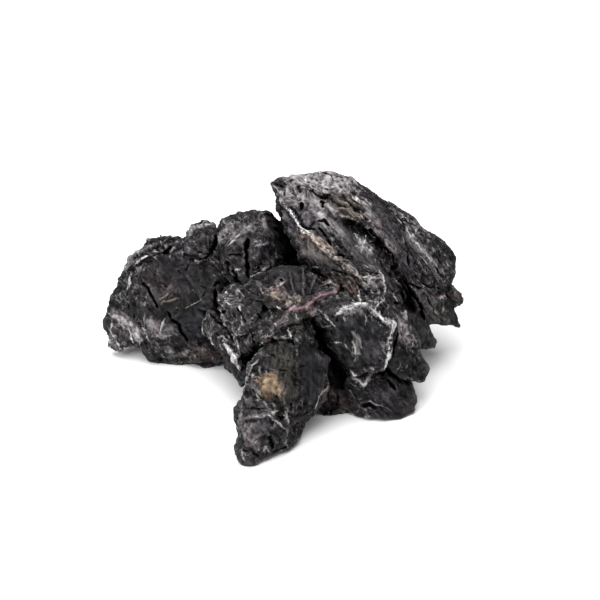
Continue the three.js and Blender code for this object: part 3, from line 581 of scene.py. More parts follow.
        "dome's side": ([(264, 222), (272, 236), (282, 254)], 16.0, 1.0),
        "buttress's right face": ([(308, 350), (314, 372), (308, 392)], 18.0, 1.0),
        "slab's lower face": ([(346, 236), (354, 248), (366, 258)], 14.0, 1.0),
        "lower inner slab": ([(384, 272), (388, 282)], 9.0, 0.8),
        "slab's foot": ([(322, 254), (330, 262)], 9.0, 0.8),
    },
}

# Where the surface crumbles into small pits and pale and dark specks, and where it is calm. The
# strength says how much, and the width how far it reaches.
CRUMBLED = {
    "slab's top": ([(302, 181), (312, 181), (326, 182), (340, 184), (352, 188)], 16.0, 1.0),
    "slab's corner": ([(282, 190), (292, 198), (300, 210)], 12.0, 0.9),
    "slab's streaked face": ([(314, 204), (322, 216), (334, 224)], 16.0, 0.3),
    "tan face": ([(342, 209), (352, 214)], 8.0, 0.2),
    "right of the tan face": ([(362, 200), (366, 212), (372, 222)], 9.0, 0.9),
    "below the tan band": ([(336, 252), (348, 262), (360, 282)], 12.0, 0.8),
    "slab's calm face": ([(346, 234), (358, 250), (370, 262), (386, 280)], 16.0, 0.1),
    "slab's foot": ([(306, 250), (322, 258), (332, 264)], 9.0, 0.1),
    "outer slab's near side": ([(378, 204), (390, 224), (402, 244), (414, 272)], 12.0, 0.4),
    "outer slab": ([(394, 212), (410, 226), (426, 244), (440, 266)], 14.0, 0.85),
    "flake": ([(416, 292), (434, 306), (446, 318)], 16.0, 0.6),
    "centre's speckle": ([(222, 294), (230, 304), (238, 314), (244, 324)], 14.0, 0.65),
    "centre": ([(250, 292), (258, 306), (264, 320)], 16.0, 0.4),
    "fan": ([(270, 292), (280, 298), (290, 302)], 10.0, 0.8),
    "fan's panes": ([(286, 278), (300, 282), (314, 284)], 10.0, 0.2),
    "under the seam": ([(262, 326), (280, 328), (292, 322)], 9.0, 0.5),
    "behind the block": ([(324, 300), (336, 296), (352, 292), (372, 292)], 12.0, 1.0),
    "flank": ([(402, 312), (406, 330), (404, 346)], 14.0, 0.7),
    "block's facet": ([(344, 322), (356, 340), (372, 352)], 20.0, 0.2),
    "base": ([(352, 394), (366, 392), (384, 394), (402, 400)], 16.0, 0.35),
    "recess": ([(324, 392), (334, 402), (346, 406)], 12.0, 0.7),
    "lens": ([(208, 320), (216, 336), (228, 352), (238, 366)], 12.0, 0.6),
    "buttress": ([(268, 352), (280, 372), (296, 396)], 18.0, 0.35),
    "buttress's right face": ([(306, 350), (312, 376)], 14.0, 0.05),
    "ochre patch": ([(266, 382), (272, 392)], 12.0, 0.1),
    "toe": ([(244, 402), (250, 424), (264, 440), (280, 430)], 20.0, 0.6),
    "shoulder's middle": ([(160, 272), (176, 300), (204, 300)], 30.0, 0.1),
    "shoulder's rim": ([(122, 290), (130, 266), (148, 250), (166, 242)], 10.0, 0.8),
    "left foot": ([(114, 322), (128, 332), (146, 336), (160, 336)], 14.0, 0.6),
    "shoulder's foot": ([(150, 352), (176, 352), (204, 350)], 12.0, 0.7),
    "knob": ([(190, 232), (206, 226)], 8.0, 0.6),
    "dome's left side": ([(220, 242), (230, 232), (244, 222)], 14.0, 0.8),
    "dome's face": ([(254, 246), (266, 252)], 12.0, 0.5),
    "dome's side": ([(268, 226), (280, 244), (284, 256)], 12.0, 0.05),
}

# How each mineral shows: how far its edge strays, in half widths, the size in mm of the lobes of
# that edge, how soft it is, and how much of the mineral its barest places keep
Look = namedtuple("Look", "ragged grain soft bare")
MINERALS = {
    "smooth face": Look(0.8, 9.0, 0.5, 0.5),
    "olive": Look(1.0, 7.0, 0.6, 0.2),
    "grey bed": Look(0.9, 8.0, 0.6, 0.45),
    "purple": Look(0.9, 7.0, 0.7, 0.2),
    "rust": Look(1.2, 4.0, 0.5, 0.1),
    "tan": Look(0.8, 5.0, 0.5, 0.35),
    "ochre": Look(0.5, 4.0, 0.25, 0.35),
    "pink seam": Look(0.9, 3.0, 0.6, 0.15),
    "pale crust": Look(0.9, 6.0, 0.5, 0.15),
    # Painted shade: the near-black laid where shade falls
    "painted_shade": Look(0.9, 6.0, 0.6, 0.6),
    "calcite": Look(0.8, 2.6, 0.5, 0.55),
}
# How far a mineral reaches from its path and over what distance it fades, in half widths, the middle
# of its edge, and the largest distance that is stored
MINERAL_REACH = 2.6
MINERAL_FADE = 0.8
MINERAL_EDGE = 0.85
MINERAL_FAR = 4

# The bedding's directions, across and along the slabs at the upper right, and where it shows most
ACROSS_BEDS = (VIEW_RIGHT * 0.77 + VIEW_UP * 0.64).normalized()
ALONG_BEDS = (VIEW_RIGHT * 0.64 - VIEW_UP * 0.77).normalized()
SLAB_AXES = (ACROSS_BEDS, ALONG_BEDS, VIEW_NEAR)
SLAB_CENTRE_PIXEL = (390, 254)
SLAB_REACH = 78
SLAB_FADE = 34
# The buttress's streaks run down it, and it is the only part that has them
BUTTRESS_AXES = (VIEW_RIGHT, VIEW_UP, VIEW_NEAR)
BUTTRESS_PIXEL = (296, 372)
BUTTRESS_REACH = 34
BUTTRESS_FADE = 14
# The shares of its bedding, its flutes and its relief that a calm place keeps
CALM_BEDDING = 0.45
CALM_RELIEF = 0.6
# Crumbling reaches this many half widths from its path. Elsewhere chance decides: the least and the
# further share, how much it varies, and the size of its areas in mm.
CRUMBLED_REACH = 1.6
CHANCE_LEAST = 0.2
CHANCE_MORE = 0.65
CHANCE_VARIES = 0.9
CHANCE_AREA = 30

# Each random pattern has a number of its own, so that no two are alike
SALT = {
    "facets": 17, "bends": 41, "small scoops": 43, "small chips": 47, "strays": 51, "fine strays": 55,
    "pits": 61, "fine pits": 71, "bed steps": 91, "partings": 92, "bed breaks": 95, "mark widths": 107,
    "mark lifts": 109, "ledge lifts": 113, "crumbling": 211,
}

# Facets: their slope, how sharply one gives way to the next, and the cracks along their borders,
# with the length of a crack's stretches, how fast it opens and its width, against the facet's width
CHIP_SLOPE = 1.5
CHIP_CRISP = 24
CRACK_STRETCH = 2.3
CRACK_OPENING = 2.5
CRACK_WIDTH = 0.13
# Scoops: their slope and depth, and the level of their middle
SCOOP_SLOPE = 0.8
SCOOP_DEPTH = 0.9
SCOOP_MIDDLE = -0.09
# Pits: the share of places that have one, their least radius and how much more it may be, against
# their spacing, how steep they are, and a radius too small to show
PIT_SHARE = 0.5
PIT_LEAST = 0.12
PIT_MORE = 0.3
PIT_STEEP = 1.2
NO_PIT = 1e-3
# Starting values: a distance longer than any to a facet, and a weight too small to count
FAR = 9.0
FEATHER = 1e-12

# How much less the facets show on the slabs and on the buttress, the share of the relief that the
# broad ones take, and the swells in mm that bend their borders, with the amount
FACETS_LOST_ON_SLAB = 0.55
FACETS_LOST_ON_BUTTRESS = 0.6
FACET_SHARE = 0.5
BEND_SIZE = 14
BEND = 2.0
# Splinters of three sizes: their width as a share of a facet's, the share of their borders that is
# cracked, the depth of those cracks, their share of the relief, and a number of their own
SPLINTERS = (
    (0.75, 0.3, 0.8, 0.42, 11),
    (0.36, 0.25, 0.9, 0.24, 23),
    (0.17, 0.2, 0.9, 0.1, 37),
)
# A splinter's sides along the slabs' axes, against its width
SPLINTER_SIDES = (1, 2.4, 1.5)
# Crumbling places: the size of small scoops and chips against a facet, and their share of the
# relief, how the chips are cracked, and the size and depth of the finer pits against the others
SMALL_SCOOP = 0.42
SMALL_SCOOP_SHARE = 0.6
SMALL_CHIP = 0.24
SMALL_CHIP_SHARE = 0.26
SMALL_CHIP_CRACKED = 0.45
SMALL_CHIP_CRACK = 0.8
FINE_PIT = 0.5
FINE_PIT_SHARE = 0.6

# How much the beds show off the slabs, and the swells that bend them: size and amount in mm, and
# a number of their own
BEDS_ELSEWHERE = 0.25
BED_SWELLS = ((30, 3.0, 83), (11, 0.8, 85))
# Against a bed's thickness: the rise from one bed to the next, and the place and width of a parting
BED_RISE = 0.22
PARTING_PLACE = 0.1
PARTING_WIDTH = 0.16
PARTING_DEPTH = 0.8
# The share of partings that stay closed, and how soon the others are open
CLOSED_PARTINGS = 0.45
PARTING_OPENING = 3
# A bed's edge breaks off in lengths of this many mm, differently in each bed, which shifts the
# pattern by so many mm, and keeps this share of its relief and up to so much more
BED_BREAK = 14
BED_SHIFT = 17.0
BED_KEPT = 0.6
BED_KEPT_MORE = 0.4
# Splinters in the beds and flutes in the buttress: their sides in mm, the share of their borders
# that is cracked, the depth of those cracks, their share of the beds' relief, and a number of
# their own
BED_SPLINTERS = (((3.4, 17, 9), 0.6, 0.8, 0.9, 96), ((1.7, 9, 5), 0.6, 0.8, 0.4, 98))
FLUTES = (((4.5, 24, 9), 0.5, 0.6, 0.55, 101), ((1.9, 11, 5), 0.5, 0.7, 0.38, 103))

# How far marks stray from their paths, in swells of so many mm by so many mm
STRAYS = ((9, 1.2, "strays"), (3, 0.45, "fine strays"))
# A path is laid in this many steps for each pixel or mm of it
PATH_STEPS = 2
# A mark narrows to this share of its width at its ends
END_WIDTH = 0.6
# The lobes of a mark's outline and the lumps in its depth, in mm, how much they change it, and how
# steep its sides are
OUTLINE_LOBE = 2.5
OUTLINE_CHANGE = 0.16
LUMP = 3.5
LUMP_CHANGE = 0.35
MARK_STEEP = 1.25
# The same for a ledge, and how wide its step is in mm
LEDGE_LUMP = 5
LEDGE_CHANGE = 0.4
LEDGE_STEP = 0.5
# A swell grows this far outwards and towards the view
SWELL_GROWTH = 0.6
# The stone keeps the solid's flat foot, up to this height in mm
FOOT = 3.0
# Edges sharper than this stay sharp
SHARP_EDGE = math.radians(28)
# How far a round of evening moves each corner to the middle of those round it, and how many rounds
# the mesh gets, and those that show up the narrow and the wide hollows
EVENING = 0.5
MESH_ROUNDS = 2
NARROW_ROUNDS = 2
WIDE_ROUNDS = 16

# From every few corners of the mesh, the sky is tried in directions that are evenly spread, as far
# as this reach. The tries start a little way out and leave out the most grazing ones. Each corner
# takes a mean of the nearest tries, in which the nearer count more, except within so many mm.
SKY_TRIES = 40
SKY_STRIDE = 5
SKY_REACH = 22 * MM
SKY_START = 0.8 * MM
SKY_GRAZING = 0.15
SKY_NEIGHBOURS = 4
SKY_BLUR = 0.5
SKY_TOP = 0.98
GOLDEN_ANGLE = math.pi * (3 - math.sqrt(5))
SKY_HEIGHTS = np.linspace(SKY_TOP, -SKY_TOP, SKY_TRIES)
SKY_WIDTHS = np.sqrt(1 - SKY_HEIGHTS * SKY_HEIGHTS)
SKY_TURNS = np.arange(SKY_TRIES) * GOLDEN_ANGLE
SKY_DIRECTIONS = np.stack([
    SKY_WIDTHS * np.cos(SKY_TURNS), SKY_WIDTHS * np.sin(SKY_TURNS), SKY_HEIGHTS], axis=1)

CELL_CORNERS = np.array([(i, j, k) for i in (0, 1) for j in (0, 1) for k in (0, 1)])
CELL_NEIGHBOURS = np.array([(i, j, k) for i in (-1, 0, 1) for j in (-1, 0, 1) for k in (-1, 0, 1)])
# Large odd numbers that mix a cell's place and a pattern's number, and the steps of the result
MIX_X, MIX_Y, MIX_Z = 374761393, 668265263, 1440662683
MIX_SALT = 974634777
MIX_LAST = 1274126177
LOT_STEPS = 2 ** 24

# The finish's patterns, by the size of their features in mm
BROAD_MOTTLE = 16
FINE_MOTTLE = 2.2
LEANING_PATCH = 24
HAIRLINE_BEND = 17
HAIRLINE_STRETCH = 11
PALE_GRAIN = 1.7
BLACK_SPECK = 3.4
MARBLING_SPANS = (2.4, 5, 4)
MARBLING_CLUSTER = 8
MINERAL_PATCH = 4.0
GRIT = 1.4
GRIT_HEIGHT = 0.9 * MM
# Streaks in the tone: the region, its axes, and the spans in mm along them
STREAKS = (("slab", SLAB_AXES, (1.1, 13, 8)), ("buttress", BUTTRESS_AXES, (1.3, 12, 6)))
# How much the fine mottle and the sharp edges count in the tone, how strong the hairlines are, how
# the grains crowd along their stretches, how crumbling and hollows move the specks and the
# marbling, with fewer pale streaks in wide hollows as a slight painted shade, and how much the surface
# gleams
FINE_SHARE = 0.45
EDGE_SHARE = -0.35
HAIRLINE_AMOUNT = 0.45
GRAIN_CROWDING = 0.05
SPECK_CRUMBLING = -0.12
MARBLING_CRUMBLING = 0.17
MARBLING_HOLLOW_SHADE = -0.02
GLEAM = 0.18

# The sides and places of the lights, in metres
OVERHEAD_SIDE = 2.4
OVERHEAD_PLACE = (-0.2, 0.3, 2.0)
LEFT_SIDE = 0.8
LEFT_PLACE = (-1.1, -0.9, 0.9)


class StoneSizes(bpy.types.PropertyGroup):
    """Sizes of the broken surface"""

    grain: bpy.props.FloatProperty(
        name="Mesh grain", description="Size of the squares of the fine mesh",
        default=1.0 * MM, unit="LENGTH", precision=5)
    faces: bpy.props.IntProperty(
        name="Most triangles", description="How many triangles the finished stone may have",
        default=196000)
    facet: bpy.props.FloatProperty(
        name="Facet width", description="Width of the larger broken facets",
        default=11.0 * MM, unit="LENGTH", precision=4)
    facet_relief: bpy.props.FloatProperty(
        name="Facet relief", description="How far the larger facets differ in level",
        default=2.8 * MM, unit="LENGTH", precision=4)
    bed: bpy.props.FloatProperty(
        name="Bed thickness", description="Thickness of a thin bed in the slabs",
        default=3.4 * MM, unit="LENGTH", precision=4)
    bed_relief: bpy.props.FloatProperty(
        name="Bed relief", description="How far one thin bed's edge steps from the next",
        default=1.5 * MM, unit="LENGTH", precision=4)
    pit: bpy.props.FloatProperty(
        name="Pit spacing", description="Distance between the small pits",
        default=6.0 * MM, unit="LENGTH", precision=4)
    pit_depth: bpy.props.FloatProperty(
        name="Pit depth", description="Depth of the small pits",
        default=1.8 * MM, unit="LENGTH", precision=4)


class StoneColours(bpy.types.PropertyGroup):
    """Colours of the stone's minerals, as sRGB hex values"""

    crevice: bpy.props.StringProperty(
        name="Crevice", description="The bottoms of cracks and pits", default="#121213")
    limestone: bpy.props.StringProperty(
        name="Limestone", description="The dark body of the stone", default="#2B2A2C")
    weathered: bpy.props.StringProperty(
        name="Weathered limestone", description="Paler grey where the surface is worn", default="#464346")
    calcite: bpy.props.StringProperty(
        name="Calcite", description="The white veins", default="#D0CDCD")
    pink_seam: bpy.props.StringProperty(
        name="Pink seam", description="The seam of pink calcite", default="#A6878D")
    tan: bpy.props.StringProperty(
        name="Tan", description="Weathered bands on the slab", default="#988A81")
    ochre: bpy.props.StringProperty(
        name="Ochre", description="The clay patch on the foot", default="#8F7963")
    rust: bpy.props.StringProperty(
        name="Rust", description="Iron stains", default="#665550")
    pale_crust: bpy.props.StringProperty(
        name="Pale crust", description="Grey-white mottling", default="#AEAAAB")
    grey_bed: bpy.props.StringProperty(
        name="Grey bed", description="Paler, even grey beds", default="#857E80")
    purple: bpy.props.StringProperty(
        name="Purple", description="Purple-grey beds", default="#5A555A")
    olive: bpy.props.StringProperty(
        name="Olive", description="Olive-grey beds", default="#34332E")
    smooth_face: bpy.props.StringProperty(
        name="Smooth face", description="Fresh, blue-black broken faces", default="#25252A")
    # Painted shade: a near-black laid in the deepest gaps where shade falls, not a film on the stone
    painted_shade: bpy.props.StringProperty(
        name="Painted shade", description="Black film in the deepest gaps", default="#0A0A0B")
    purple_tinge: bpy.props.StringProperty(
        name="Purple tinge", description="Tints the stone in broad patches", default="#FFF5FB")
    olive_tinge: bpy.props.StringProperty(
        name="Olive tinge", description="Tints the stone between those patches", default="#FFFCF2")


class StageSettings(bpy.types.PropertyGroup):
    """The floor and lights"""

    floor: bpy.props.StringProperty(
        name="Floor", description="Colour of the floor", default="#F4F4F4")
    floor_side: bpy.props.FloatProperty(
        name="Floor side", description="Length of the floor's sides", default=8.0, unit="LENGTH")
    overhead: bpy.props.FloatProperty(
        name="Overhead light", description="Power of the large light above", default=72.0, unit="POWER")
    side: bpy.props.FloatProperty(
        name="Side light", description="Power of the light at the left", default=14.0, unit="POWER")
    surround: bpy.props.FloatProperty(
        name="Surround", description="Strength of the even light from all round", default=0.5)


def linear(hex_value):
    """The linear colour, with alpha, of an sRGB hex value."""
    channels = [int(hex_value[i:i + 2], 16) / 255 for i in (1, 3, 5)]
    return [c / 12.92 if c <= 0.04045 else ((c + 0.055) / 1.055) ** 2.4 for c in channels] + [1.0]


def add(tree, kind, inputs=None, **settings):
    """Adds a node with its settings, and sets or links each of the inputs given."""
    node = tree.nodes.new(kind)
    for name, value in settings.items():
        setattr(node, name, value)
    for socket, value in (inputs or {}).items():
        if isinstance(value, bpy.types.NodeSocket):
            tree.links.new(value, node.inputs[socket])
        else:
            node.inputs[socket].default_value = value
    return node


def per_metre(size_in_mm):
    """The scale of a texture whose features are as large as that."""
    return 1 / (size_in_mm * MM)


def smooth(values):
    """Eases values from 0 to 1, and cuts off what lies beyond."""
    t = np.clip(values, 0, 1)
    return t * t * (3 - 2 * t)


def lot(cells, salt):
    """A repeatable number from 0 to 1 for each cell of a lattice."""
    mixed = cells[:, 0] * MIX_X + cells[:, 1] * MIX_Y + cells[:, 2] * MIX_Z + salt * MIX_SALT
    mixed = (mixed ^ (mixed >> 13)) * MIX_LAST
    return ((mixed ^ (mixed >> 16)) & (LOT_STEPS - 1)) / LOT_STEPS


def lots(cells, salt):
    """Three such numbers for each cell."""
    return np.stack([lot(cells, salt + n) for n in range(3)], axis=1)


def ripple(points, size, salt):
    """A smooth random rise and fall from -1 to 1, with swells of the given size."""
    scaled = points / size
    home = np.floor(scaled).astype(np.int64)
    share = smooth(scaled - home)
    total = np.zeros(len(points))
    for corner in CELL_CORNERS:
        weight = np.prod(np.where(corner, share, 1 - share), axis=1)
        total += weight * (lot(home + corner, salt) * 2 - 1)
    return total


def wander(points, size, salt):
    """A smooth random shift along each axis, from -1 to 1, that bends what would be straight."""
    return np.stack([ripple(points, size, salt + n) for n in range(3)], axis=1)


def along(points, axes, lengths):
    """The points' coordinates along three axes, in units of three lengths in mm."""
    return points @ np.array(axes).T / np.array(lengths)


def neighbours(scaled, salt):
    """Each of the 27 cells round every point in turn, and the way from its random seed to the point."""
    home = np.floor(scaled).astype(np.int64)
    for offset in CELL_NEIGHBOURS:
        cell = home + offset
        yield cell, scaled - (cell + lots(cell, salt + 1))


def tilted(cell, away, salt, slope):
    """The level of a cell's flat face, which has a height and a tilt of its own."""
    lean = lots(cell, salt + 4) - 0.5
    return slope * np.einsum("ij,ij->i", lean, away) + lot(cell, salt + 7) - 0.5


def chips(scaled, salt):
    """Flat broken facets about one unit wide, each with a level and a slope of its own, and how
    far each point is from the border of its facet."""
    total = np.zeros(len(scaled))
    weights = np.full(len(scaled), FEATHER)
    first = np.full(len(scaled), FAR)
    second = first.copy()
    for cell, away in neighbours(scaled, salt):
        distance = np.linalg.norm(away, axis=1)
        weight = np.exp(-CHIP_CRISP * distance)
        total += weight * tilted(cell, away, salt, CHIP_SLOPE)
        weights += weight
        second = np.minimum(second, np.maximum(first, distance))
        first = np.minimum(first, distance)
    return total / weights, second - first


def scoops(scaled, salt):
    """Shallow hollows about one unit wide, as a blow leaves them, that meet in sharp ridges."""
    lowest = np.full(len(scaled), FAR)
    for cell, away in neighbours(scaled, salt):
        bowl = SCOOP_DEPTH * np.einsum("ij,ij->i", away, away)
        lowest = np.minimum(lowest, tilted(cell, away, salt, SCOOP_SLOPE) + bowl)
    return lowest - SCOOP_MIDDLE


def fractured(scaled, salt, cracked, crack):
    """Chips with a narrow crack along a share of their borders, crack deep against their relief."""
    level, border = chips(scaled, salt)
    open_here = smooth((ripple(scaled, CRACK_STRETCH, salt + 8) + cracked * 2 - 1) * CRACK_OPENING)
    return level - crack * smooth(1 - border / CRACK_WIDTH) * open_here


def pitted(points, spacing, salt):
    """Small round pits, from 0 outside them to 1 at their bottoms."""
    deepest = np.zeros(len(points))
    for cell, away in neighbours(points / spacing, salt):
        size = PIT_LEAST + PIT_MORE * lot(cell, salt + 5)
        radius = np.where(lot(cell, salt + 4) < PIT_SHARE, size, NO_PIT)
        sides = smooth(PIT_STEEP * (1 - np.linalg.norm(away, axis=1) / radius))
        deepest = np.maximum(deepest, sides * radius / (PIT_LEAST + PIT_MORE))
    return deepest


def sight(pixel):
    """The direction in which a pixel of the front view looks, and where the viewer is."""
    across = (pixel[0] - MIDDLE_PIXEL[0]) * PIXEL_SIZE
    up = (MIDDLE_PIXEL[1] - pixel[1]) * PIXEL_SIZE
    eye = VIEW_MIDDLE + VIEW_NEAR * VIEW_DISTANCE
    return (VIEW_MIDDLE + VIEW_RIGHT * across + VIEW_UP * up - eye).normalized(), eye


def seen(surface, pixel):
    """The place on the stone that shows at a pixel, in metres, or None where the view passes it."""
    direction, eye = sight(pixel)
    return surface.ray_cast(eye, direction)[0]


def laid(surface, path):
    """Points in mm close together along a path, laid on the stone. A stop of two numbers is a pixel
    of the front view, and one of three is a place in mm outside the stone, from where the path is
    carried straight towards the stone's middle."""
    places = []
    for start, end in zip(path, path[1:]):
        steps = max(PATH_STEPS, round(math.dist(start, end) * PATH_STEPS))
        for n in range(steps + 1):
            stop = [a + (b - a) * n / steps for a, b in zip(start, end)]
            if len(stop) == 2:
                place = seen(surface, stop)
            else:
                place = surface.ray_cast(Vector(stop) * MM, STONE_MIDDLE - Vector(stop) * MM)[0]
            if place is not None:
                places.append(place / MM)
    return places


def searchable(places):
    """The places as a tree that finds the nearest of them."""
    tree = KDTree(len(places))
    for n, place in enumerate(places):
        tree.insert(place, n)
    tree.balance()
    return tree


def nearest(surface, marks, points):
    """For each point in mm: the distance to the nearest mark's path and on which side of it the
    point is, then the mark's width, and its lift or strength."""
    places, traits = [], []
    for path, width, lift in marks.values():
        line = laid(surface, path)
        for n, place in enumerate(line):
            heading = line[min(n + 1, len(line) - 1)] - line[max(n - 1, 0)]
            swell = math.sqrt(math.sin(math.pi * (n + 0.5) / len(line)))
            places.append(place)
            traits.append((*place, *heading, width * (END_WIDTH + (1 - END_WIDTH) * swell), lift))
    tree = searchable(places)
    strayed = points
    for size, amount, salt in STRAYS:
        strayed = strayed + wander(points, size, SALT[salt]) * amount
    found = np.array([tree.find(point)[1:] for point in strayed])
    trait = np.array(traits)[found[:, 0].astype(int)]
    away = strayed - trait[:, 0:3]
    side = np.sign(np.cross(trait[:, 3:6], away) @ np.array(VIEW_NEAR))
    return found[:, 1], np.where(side == 0, 1, side), trait[:, 6], trait[:, 7]


def vertex_places(mesh):
    """The mesh's corners in mm."""
    places = np.empty(len(mesh.vertices) * 3, np.float32)
    mesh.vertices.foreach_get("co", places)
    return places.reshape(-1, 3).astype(float) / MM


def vertex_normals(mesh):
    """The direction out of the mesh at each corner."""
    normals = np.empty(len(mesh.vertices) * 3, np.float32)
    mesh.vertex_normals.foreach_get("vector", normals)
    return normals.reshape(-1, 3).astype(float)


def move_vertices(mesh, places):
    """Puts the mesh's corners at places in mm."""
    mesh.vertices.foreach_set("co", (places * MM).astype(np.float32).ravel())
    mesh.update()


def use_modifier(stone, kind, **settings):
    """Applies a modifier to the stone's mesh."""
    modifier = stone.modifiers.new(kind, kind)
    for name, value in settings.items():
        setattr(modifier, name, value)
    shaped = bpy.data.meshes.new_from_object(stone.evaluated_get(bpy.context.evaluated_depsgraph_get()))
    stone.modifiers.clear()
    stone.data = shaped


def shown(points, pixel_place, reach, fade):
    """1 near a place on the stone, 0 beyond its reach."""
    return smooth((reach - np.linalg.norm(points - np.array(pixel_place) / MM, axis=1)) / fade)


def crumbled(points, surface):
    """How much the surface crumbles at each point: as placed in front, by chance elsewhere."""
    distance, _, width, strength = nearest(surface, CRUMBLED, points)
    placed = smooth(CRUMBLED_REACH - distance / (width / 2))
    chance = smooth(0.5 + CHANCE_VARIES * ripple(points, CHANCE_AREA, SALT["crumbling"]))
    return placed * strength + (1 - placed) * (CHANCE_LEAST + CHANCE_MORE * chance)


def regions(points, surface):
    """How strongly the slabs' bedding, the buttress's flutes and the crumbling show at each point."""
    crumbly = crumbled(points, surface)
    uneven = CALM_BEDDING + (1 - CALM_BEDDING) * smooth(2 * crumbly)
    slab = shown(points, seen(surface, SLAB_CENTRE_PIXEL), SLAB_REACH, SLAB_FADE)
    buttress = shown(points, seen(surface, BUTTRESS_PIXEL), BUTTRESS_REACH, BUTTRESS_FADE)
    return {"slab": slab * uneven, "buttress": buttress * uneven, "crumbled": crumbly}


def broken(points, surface, sizes):
    """How far each point in mm is raised or sunk by facets, cracks, beds, pits and flutes."""
    slab, buttress, crumbly = regions(points, surface).values()
    facet = sizes.facet / MM
    relief = sizes.facet_relief / MM
    blocky = 1 - FACETS_LOST_ON_SLAB * slab - FACETS_LOST_ON_BUTTRESS * buttress
    bent = points + wander(points, BEND_SIZE, SALT["bends"]) * BEND
    lifted = scoops(bent / facet, SALT["facets"]) * relief * FACET_SHARE * blocky
    for size, cracked, crack, share, salt in SPLINTERS:
        spans = along(bent, SLAB_AXES, [facet * size * side for side in SPLINTER_SIDES])
        lifted += fractured(spans, salt, cracked, crack) * relief * share * blocky
    lifted += bedded(points, sizes) * np.maximum(slab, BEDS_ELSEWHERE)
    lifted *= CALM_RELIEF + (1 - CALM_RELIEF) * crumbly
    lifted += fluted(points, sizes) * buttress
    small_scoops = scoops(bent / facet / SMALL_SCOOP, SALT["small scoops"])
    lifted += small_scoops * relief * SMALL_SCOOP_SHARE * crumbly
    small_chips = fractured(
        bent / facet / SMALL_CHIP, SALT["small chips"], SMALL_CHIP_CRACKED, SMALL_CHIP_CRACK)
    lifted += small_chips * relief * SMALL_CHIP_SHARE * crumbly
    holes = pitted(bent, sizes.pit / MM, SALT["pits"])
    holes += pitted(bent, sizes.pit / MM * FINE_PIT, SALT["fine pits"]) * FINE_PIT_SHARE
    lifted -= holes * crumbly * sizes.pit_depth / MM
    return lifted


def splintered(points, axes, layers):
    """Splinters in several layers, each drawn out along three axes by its own lengths."""
    return sum(
        share * fractured(along(points, axes, lengths), salt, cracked, crack)
        for lengths, cracked, crack, share, salt in layers
    )


def bedded(points, sizes):
    """Thin beds that step in and out, open partings between some, and splinters along them."""
    bend = sum(ripple(points, size, salt) * amount for size, amount, salt in BED_SWELLS)
    level = (points @ np.array(ACROSS_BEDS) + bend) / (sizes.bed / MM)
    layer = np.floor(level)
    rise = smooth((level - layer) / BED_RISE)
    here = np.stack([layer, np.zeros_like(layer), np.zeros_like(layer)], axis=1).astype(np.int64)
    below = here - np.array([1, 0, 0])
    step = lot(below, SALT["bed steps"]) * (1 - rise) + lot(here, SALT["bed steps"]) * rise - 0.5
    parting = smooth(1 - np.abs(level - layer - PARTING_PLACE) / PARTING_WIDTH)
    parting *= smooth(PARTING_OPENING * (lot(here, SALT["partings"]) - CLOSED_PARTINGS))
    kept = BED_KEPT + BED_KEPT_MORE * ripple(points + here * BED_SHIFT, BED_BREAK, SALT["bed breaks"])
    edges = (step - PARTING_DEPTH * parting) * kept
    return (edges + splintered(points, SLAB_AXES, BED_SPLINTERS)) * sizes.bed_relief / MM


def fluted(points, sizes):
    """Long shallow flutes that run down the buttress."""
    return splintered(points, BUTTRESS_AXES, FLUTES) * sizes.bed_relief / MM


def marked(points, surface, marks):
    """How far the marks raise or sink each point, in mm."""
    distance, _, width, lift = nearest(surface, marks, points)
    reach = width * (0.5 + OUTLINE_CHANGE * ripple(points, OUTLINE_LOBE, SALT["mark widths"]))
    lumpy = 1 + LUMP_CHANGE * ripple(points, LUMP, SALT["mark lifts"])
    return lift * lumpy * smooth(MARK_STEEP * (1 - distance / reach))


def stepped(points, surface):
    """How far the ledges raise or sink each point, in mm."""
    distance, side, width, lift = nearest(surface, LEDGES, points)
    lumpy = 1 + LEDGE_CHANGE * ripple(points, LEDGE_LUMP, SALT["ledge lifts"])
    return side * lift * lumpy * smooth(1 - distance / width) * smooth(distance / LEDGE_STEP)


def even_out(mesh, rounds):
    """The mesh's corners in mm, each moved towards those round it, which takes out small steps."""
    places = vertex_places(mesh)
    edges = np.empty(len(mesh.edges) * 2, np.int32)
    mesh.edges.foreach_get("vertices", edges)
    a, b = edges.reshape(-1, 2).T
    count = np.bincount(np.concatenate([a, b]), minlength=len(places))[:, None]
    for _ in range(rounds):
        total = np.stack([
            np.bincount(a, places[b, n], len(places)) + np.bincount(b, places[a, n], len(places))
            for n in range(3)
        ], axis=1)
        places += EVENING * (total / count - places)
    return places


def fine_mesh(sizes):
    """The stone's solid as a fine mesh with its surface broken, and the surface from before that."""
    stone = bpy.data.objects.new("stone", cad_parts["rock"].data.copy())
    bpy.context.scene.collection.objects.link(stone)
    use_modifier(stone, "REMESH", mode="VOXEL", voxel_size=sizes.grain)
    move_vertices(stone.data, even_out(stone.data, MESH_ROUNDS))
    surface = BVHTree.FromObject(stone, bpy.context.evaluated_depsgraph_get())
    points = vertex_places(stone.data)
    outward = vertex_normals(stone.data)
    near = np.array(VIEW_NEAR)
    standing = smooth(points[:, 2] / FOOT)[:, None]
    shift = outward * (broken(points, surface, sizes) + stepped(points, surface))[:, None]
    shift += (outward + near) * SWELL_GROWTH * marked(points, surface, SWELLS)[:, None]
    shift += near * marked(points, surface, HOLLOWS)[:, None]
    points += shift * standing
    points[:, 2] = np.maximum(points[:, 2], 0)
    move_vertices(stone.data, points)
    use_modifier(stone, "TRIANGULATE")
    share = sizes.faces / len(stone.data.polygons)
    if share < 1:
        use_modifier(stone, "DECIMATE", ratio=share)
    return stone, surface


def sunk(mesh, rounds):
    """How far each corner lies below the surface round it, in mm, wider round it for more rounds."""
    return np.einsum("ij,ij->i", even_out(mesh, rounds) - vertex_places(mesh), vertex_normals(mesh))


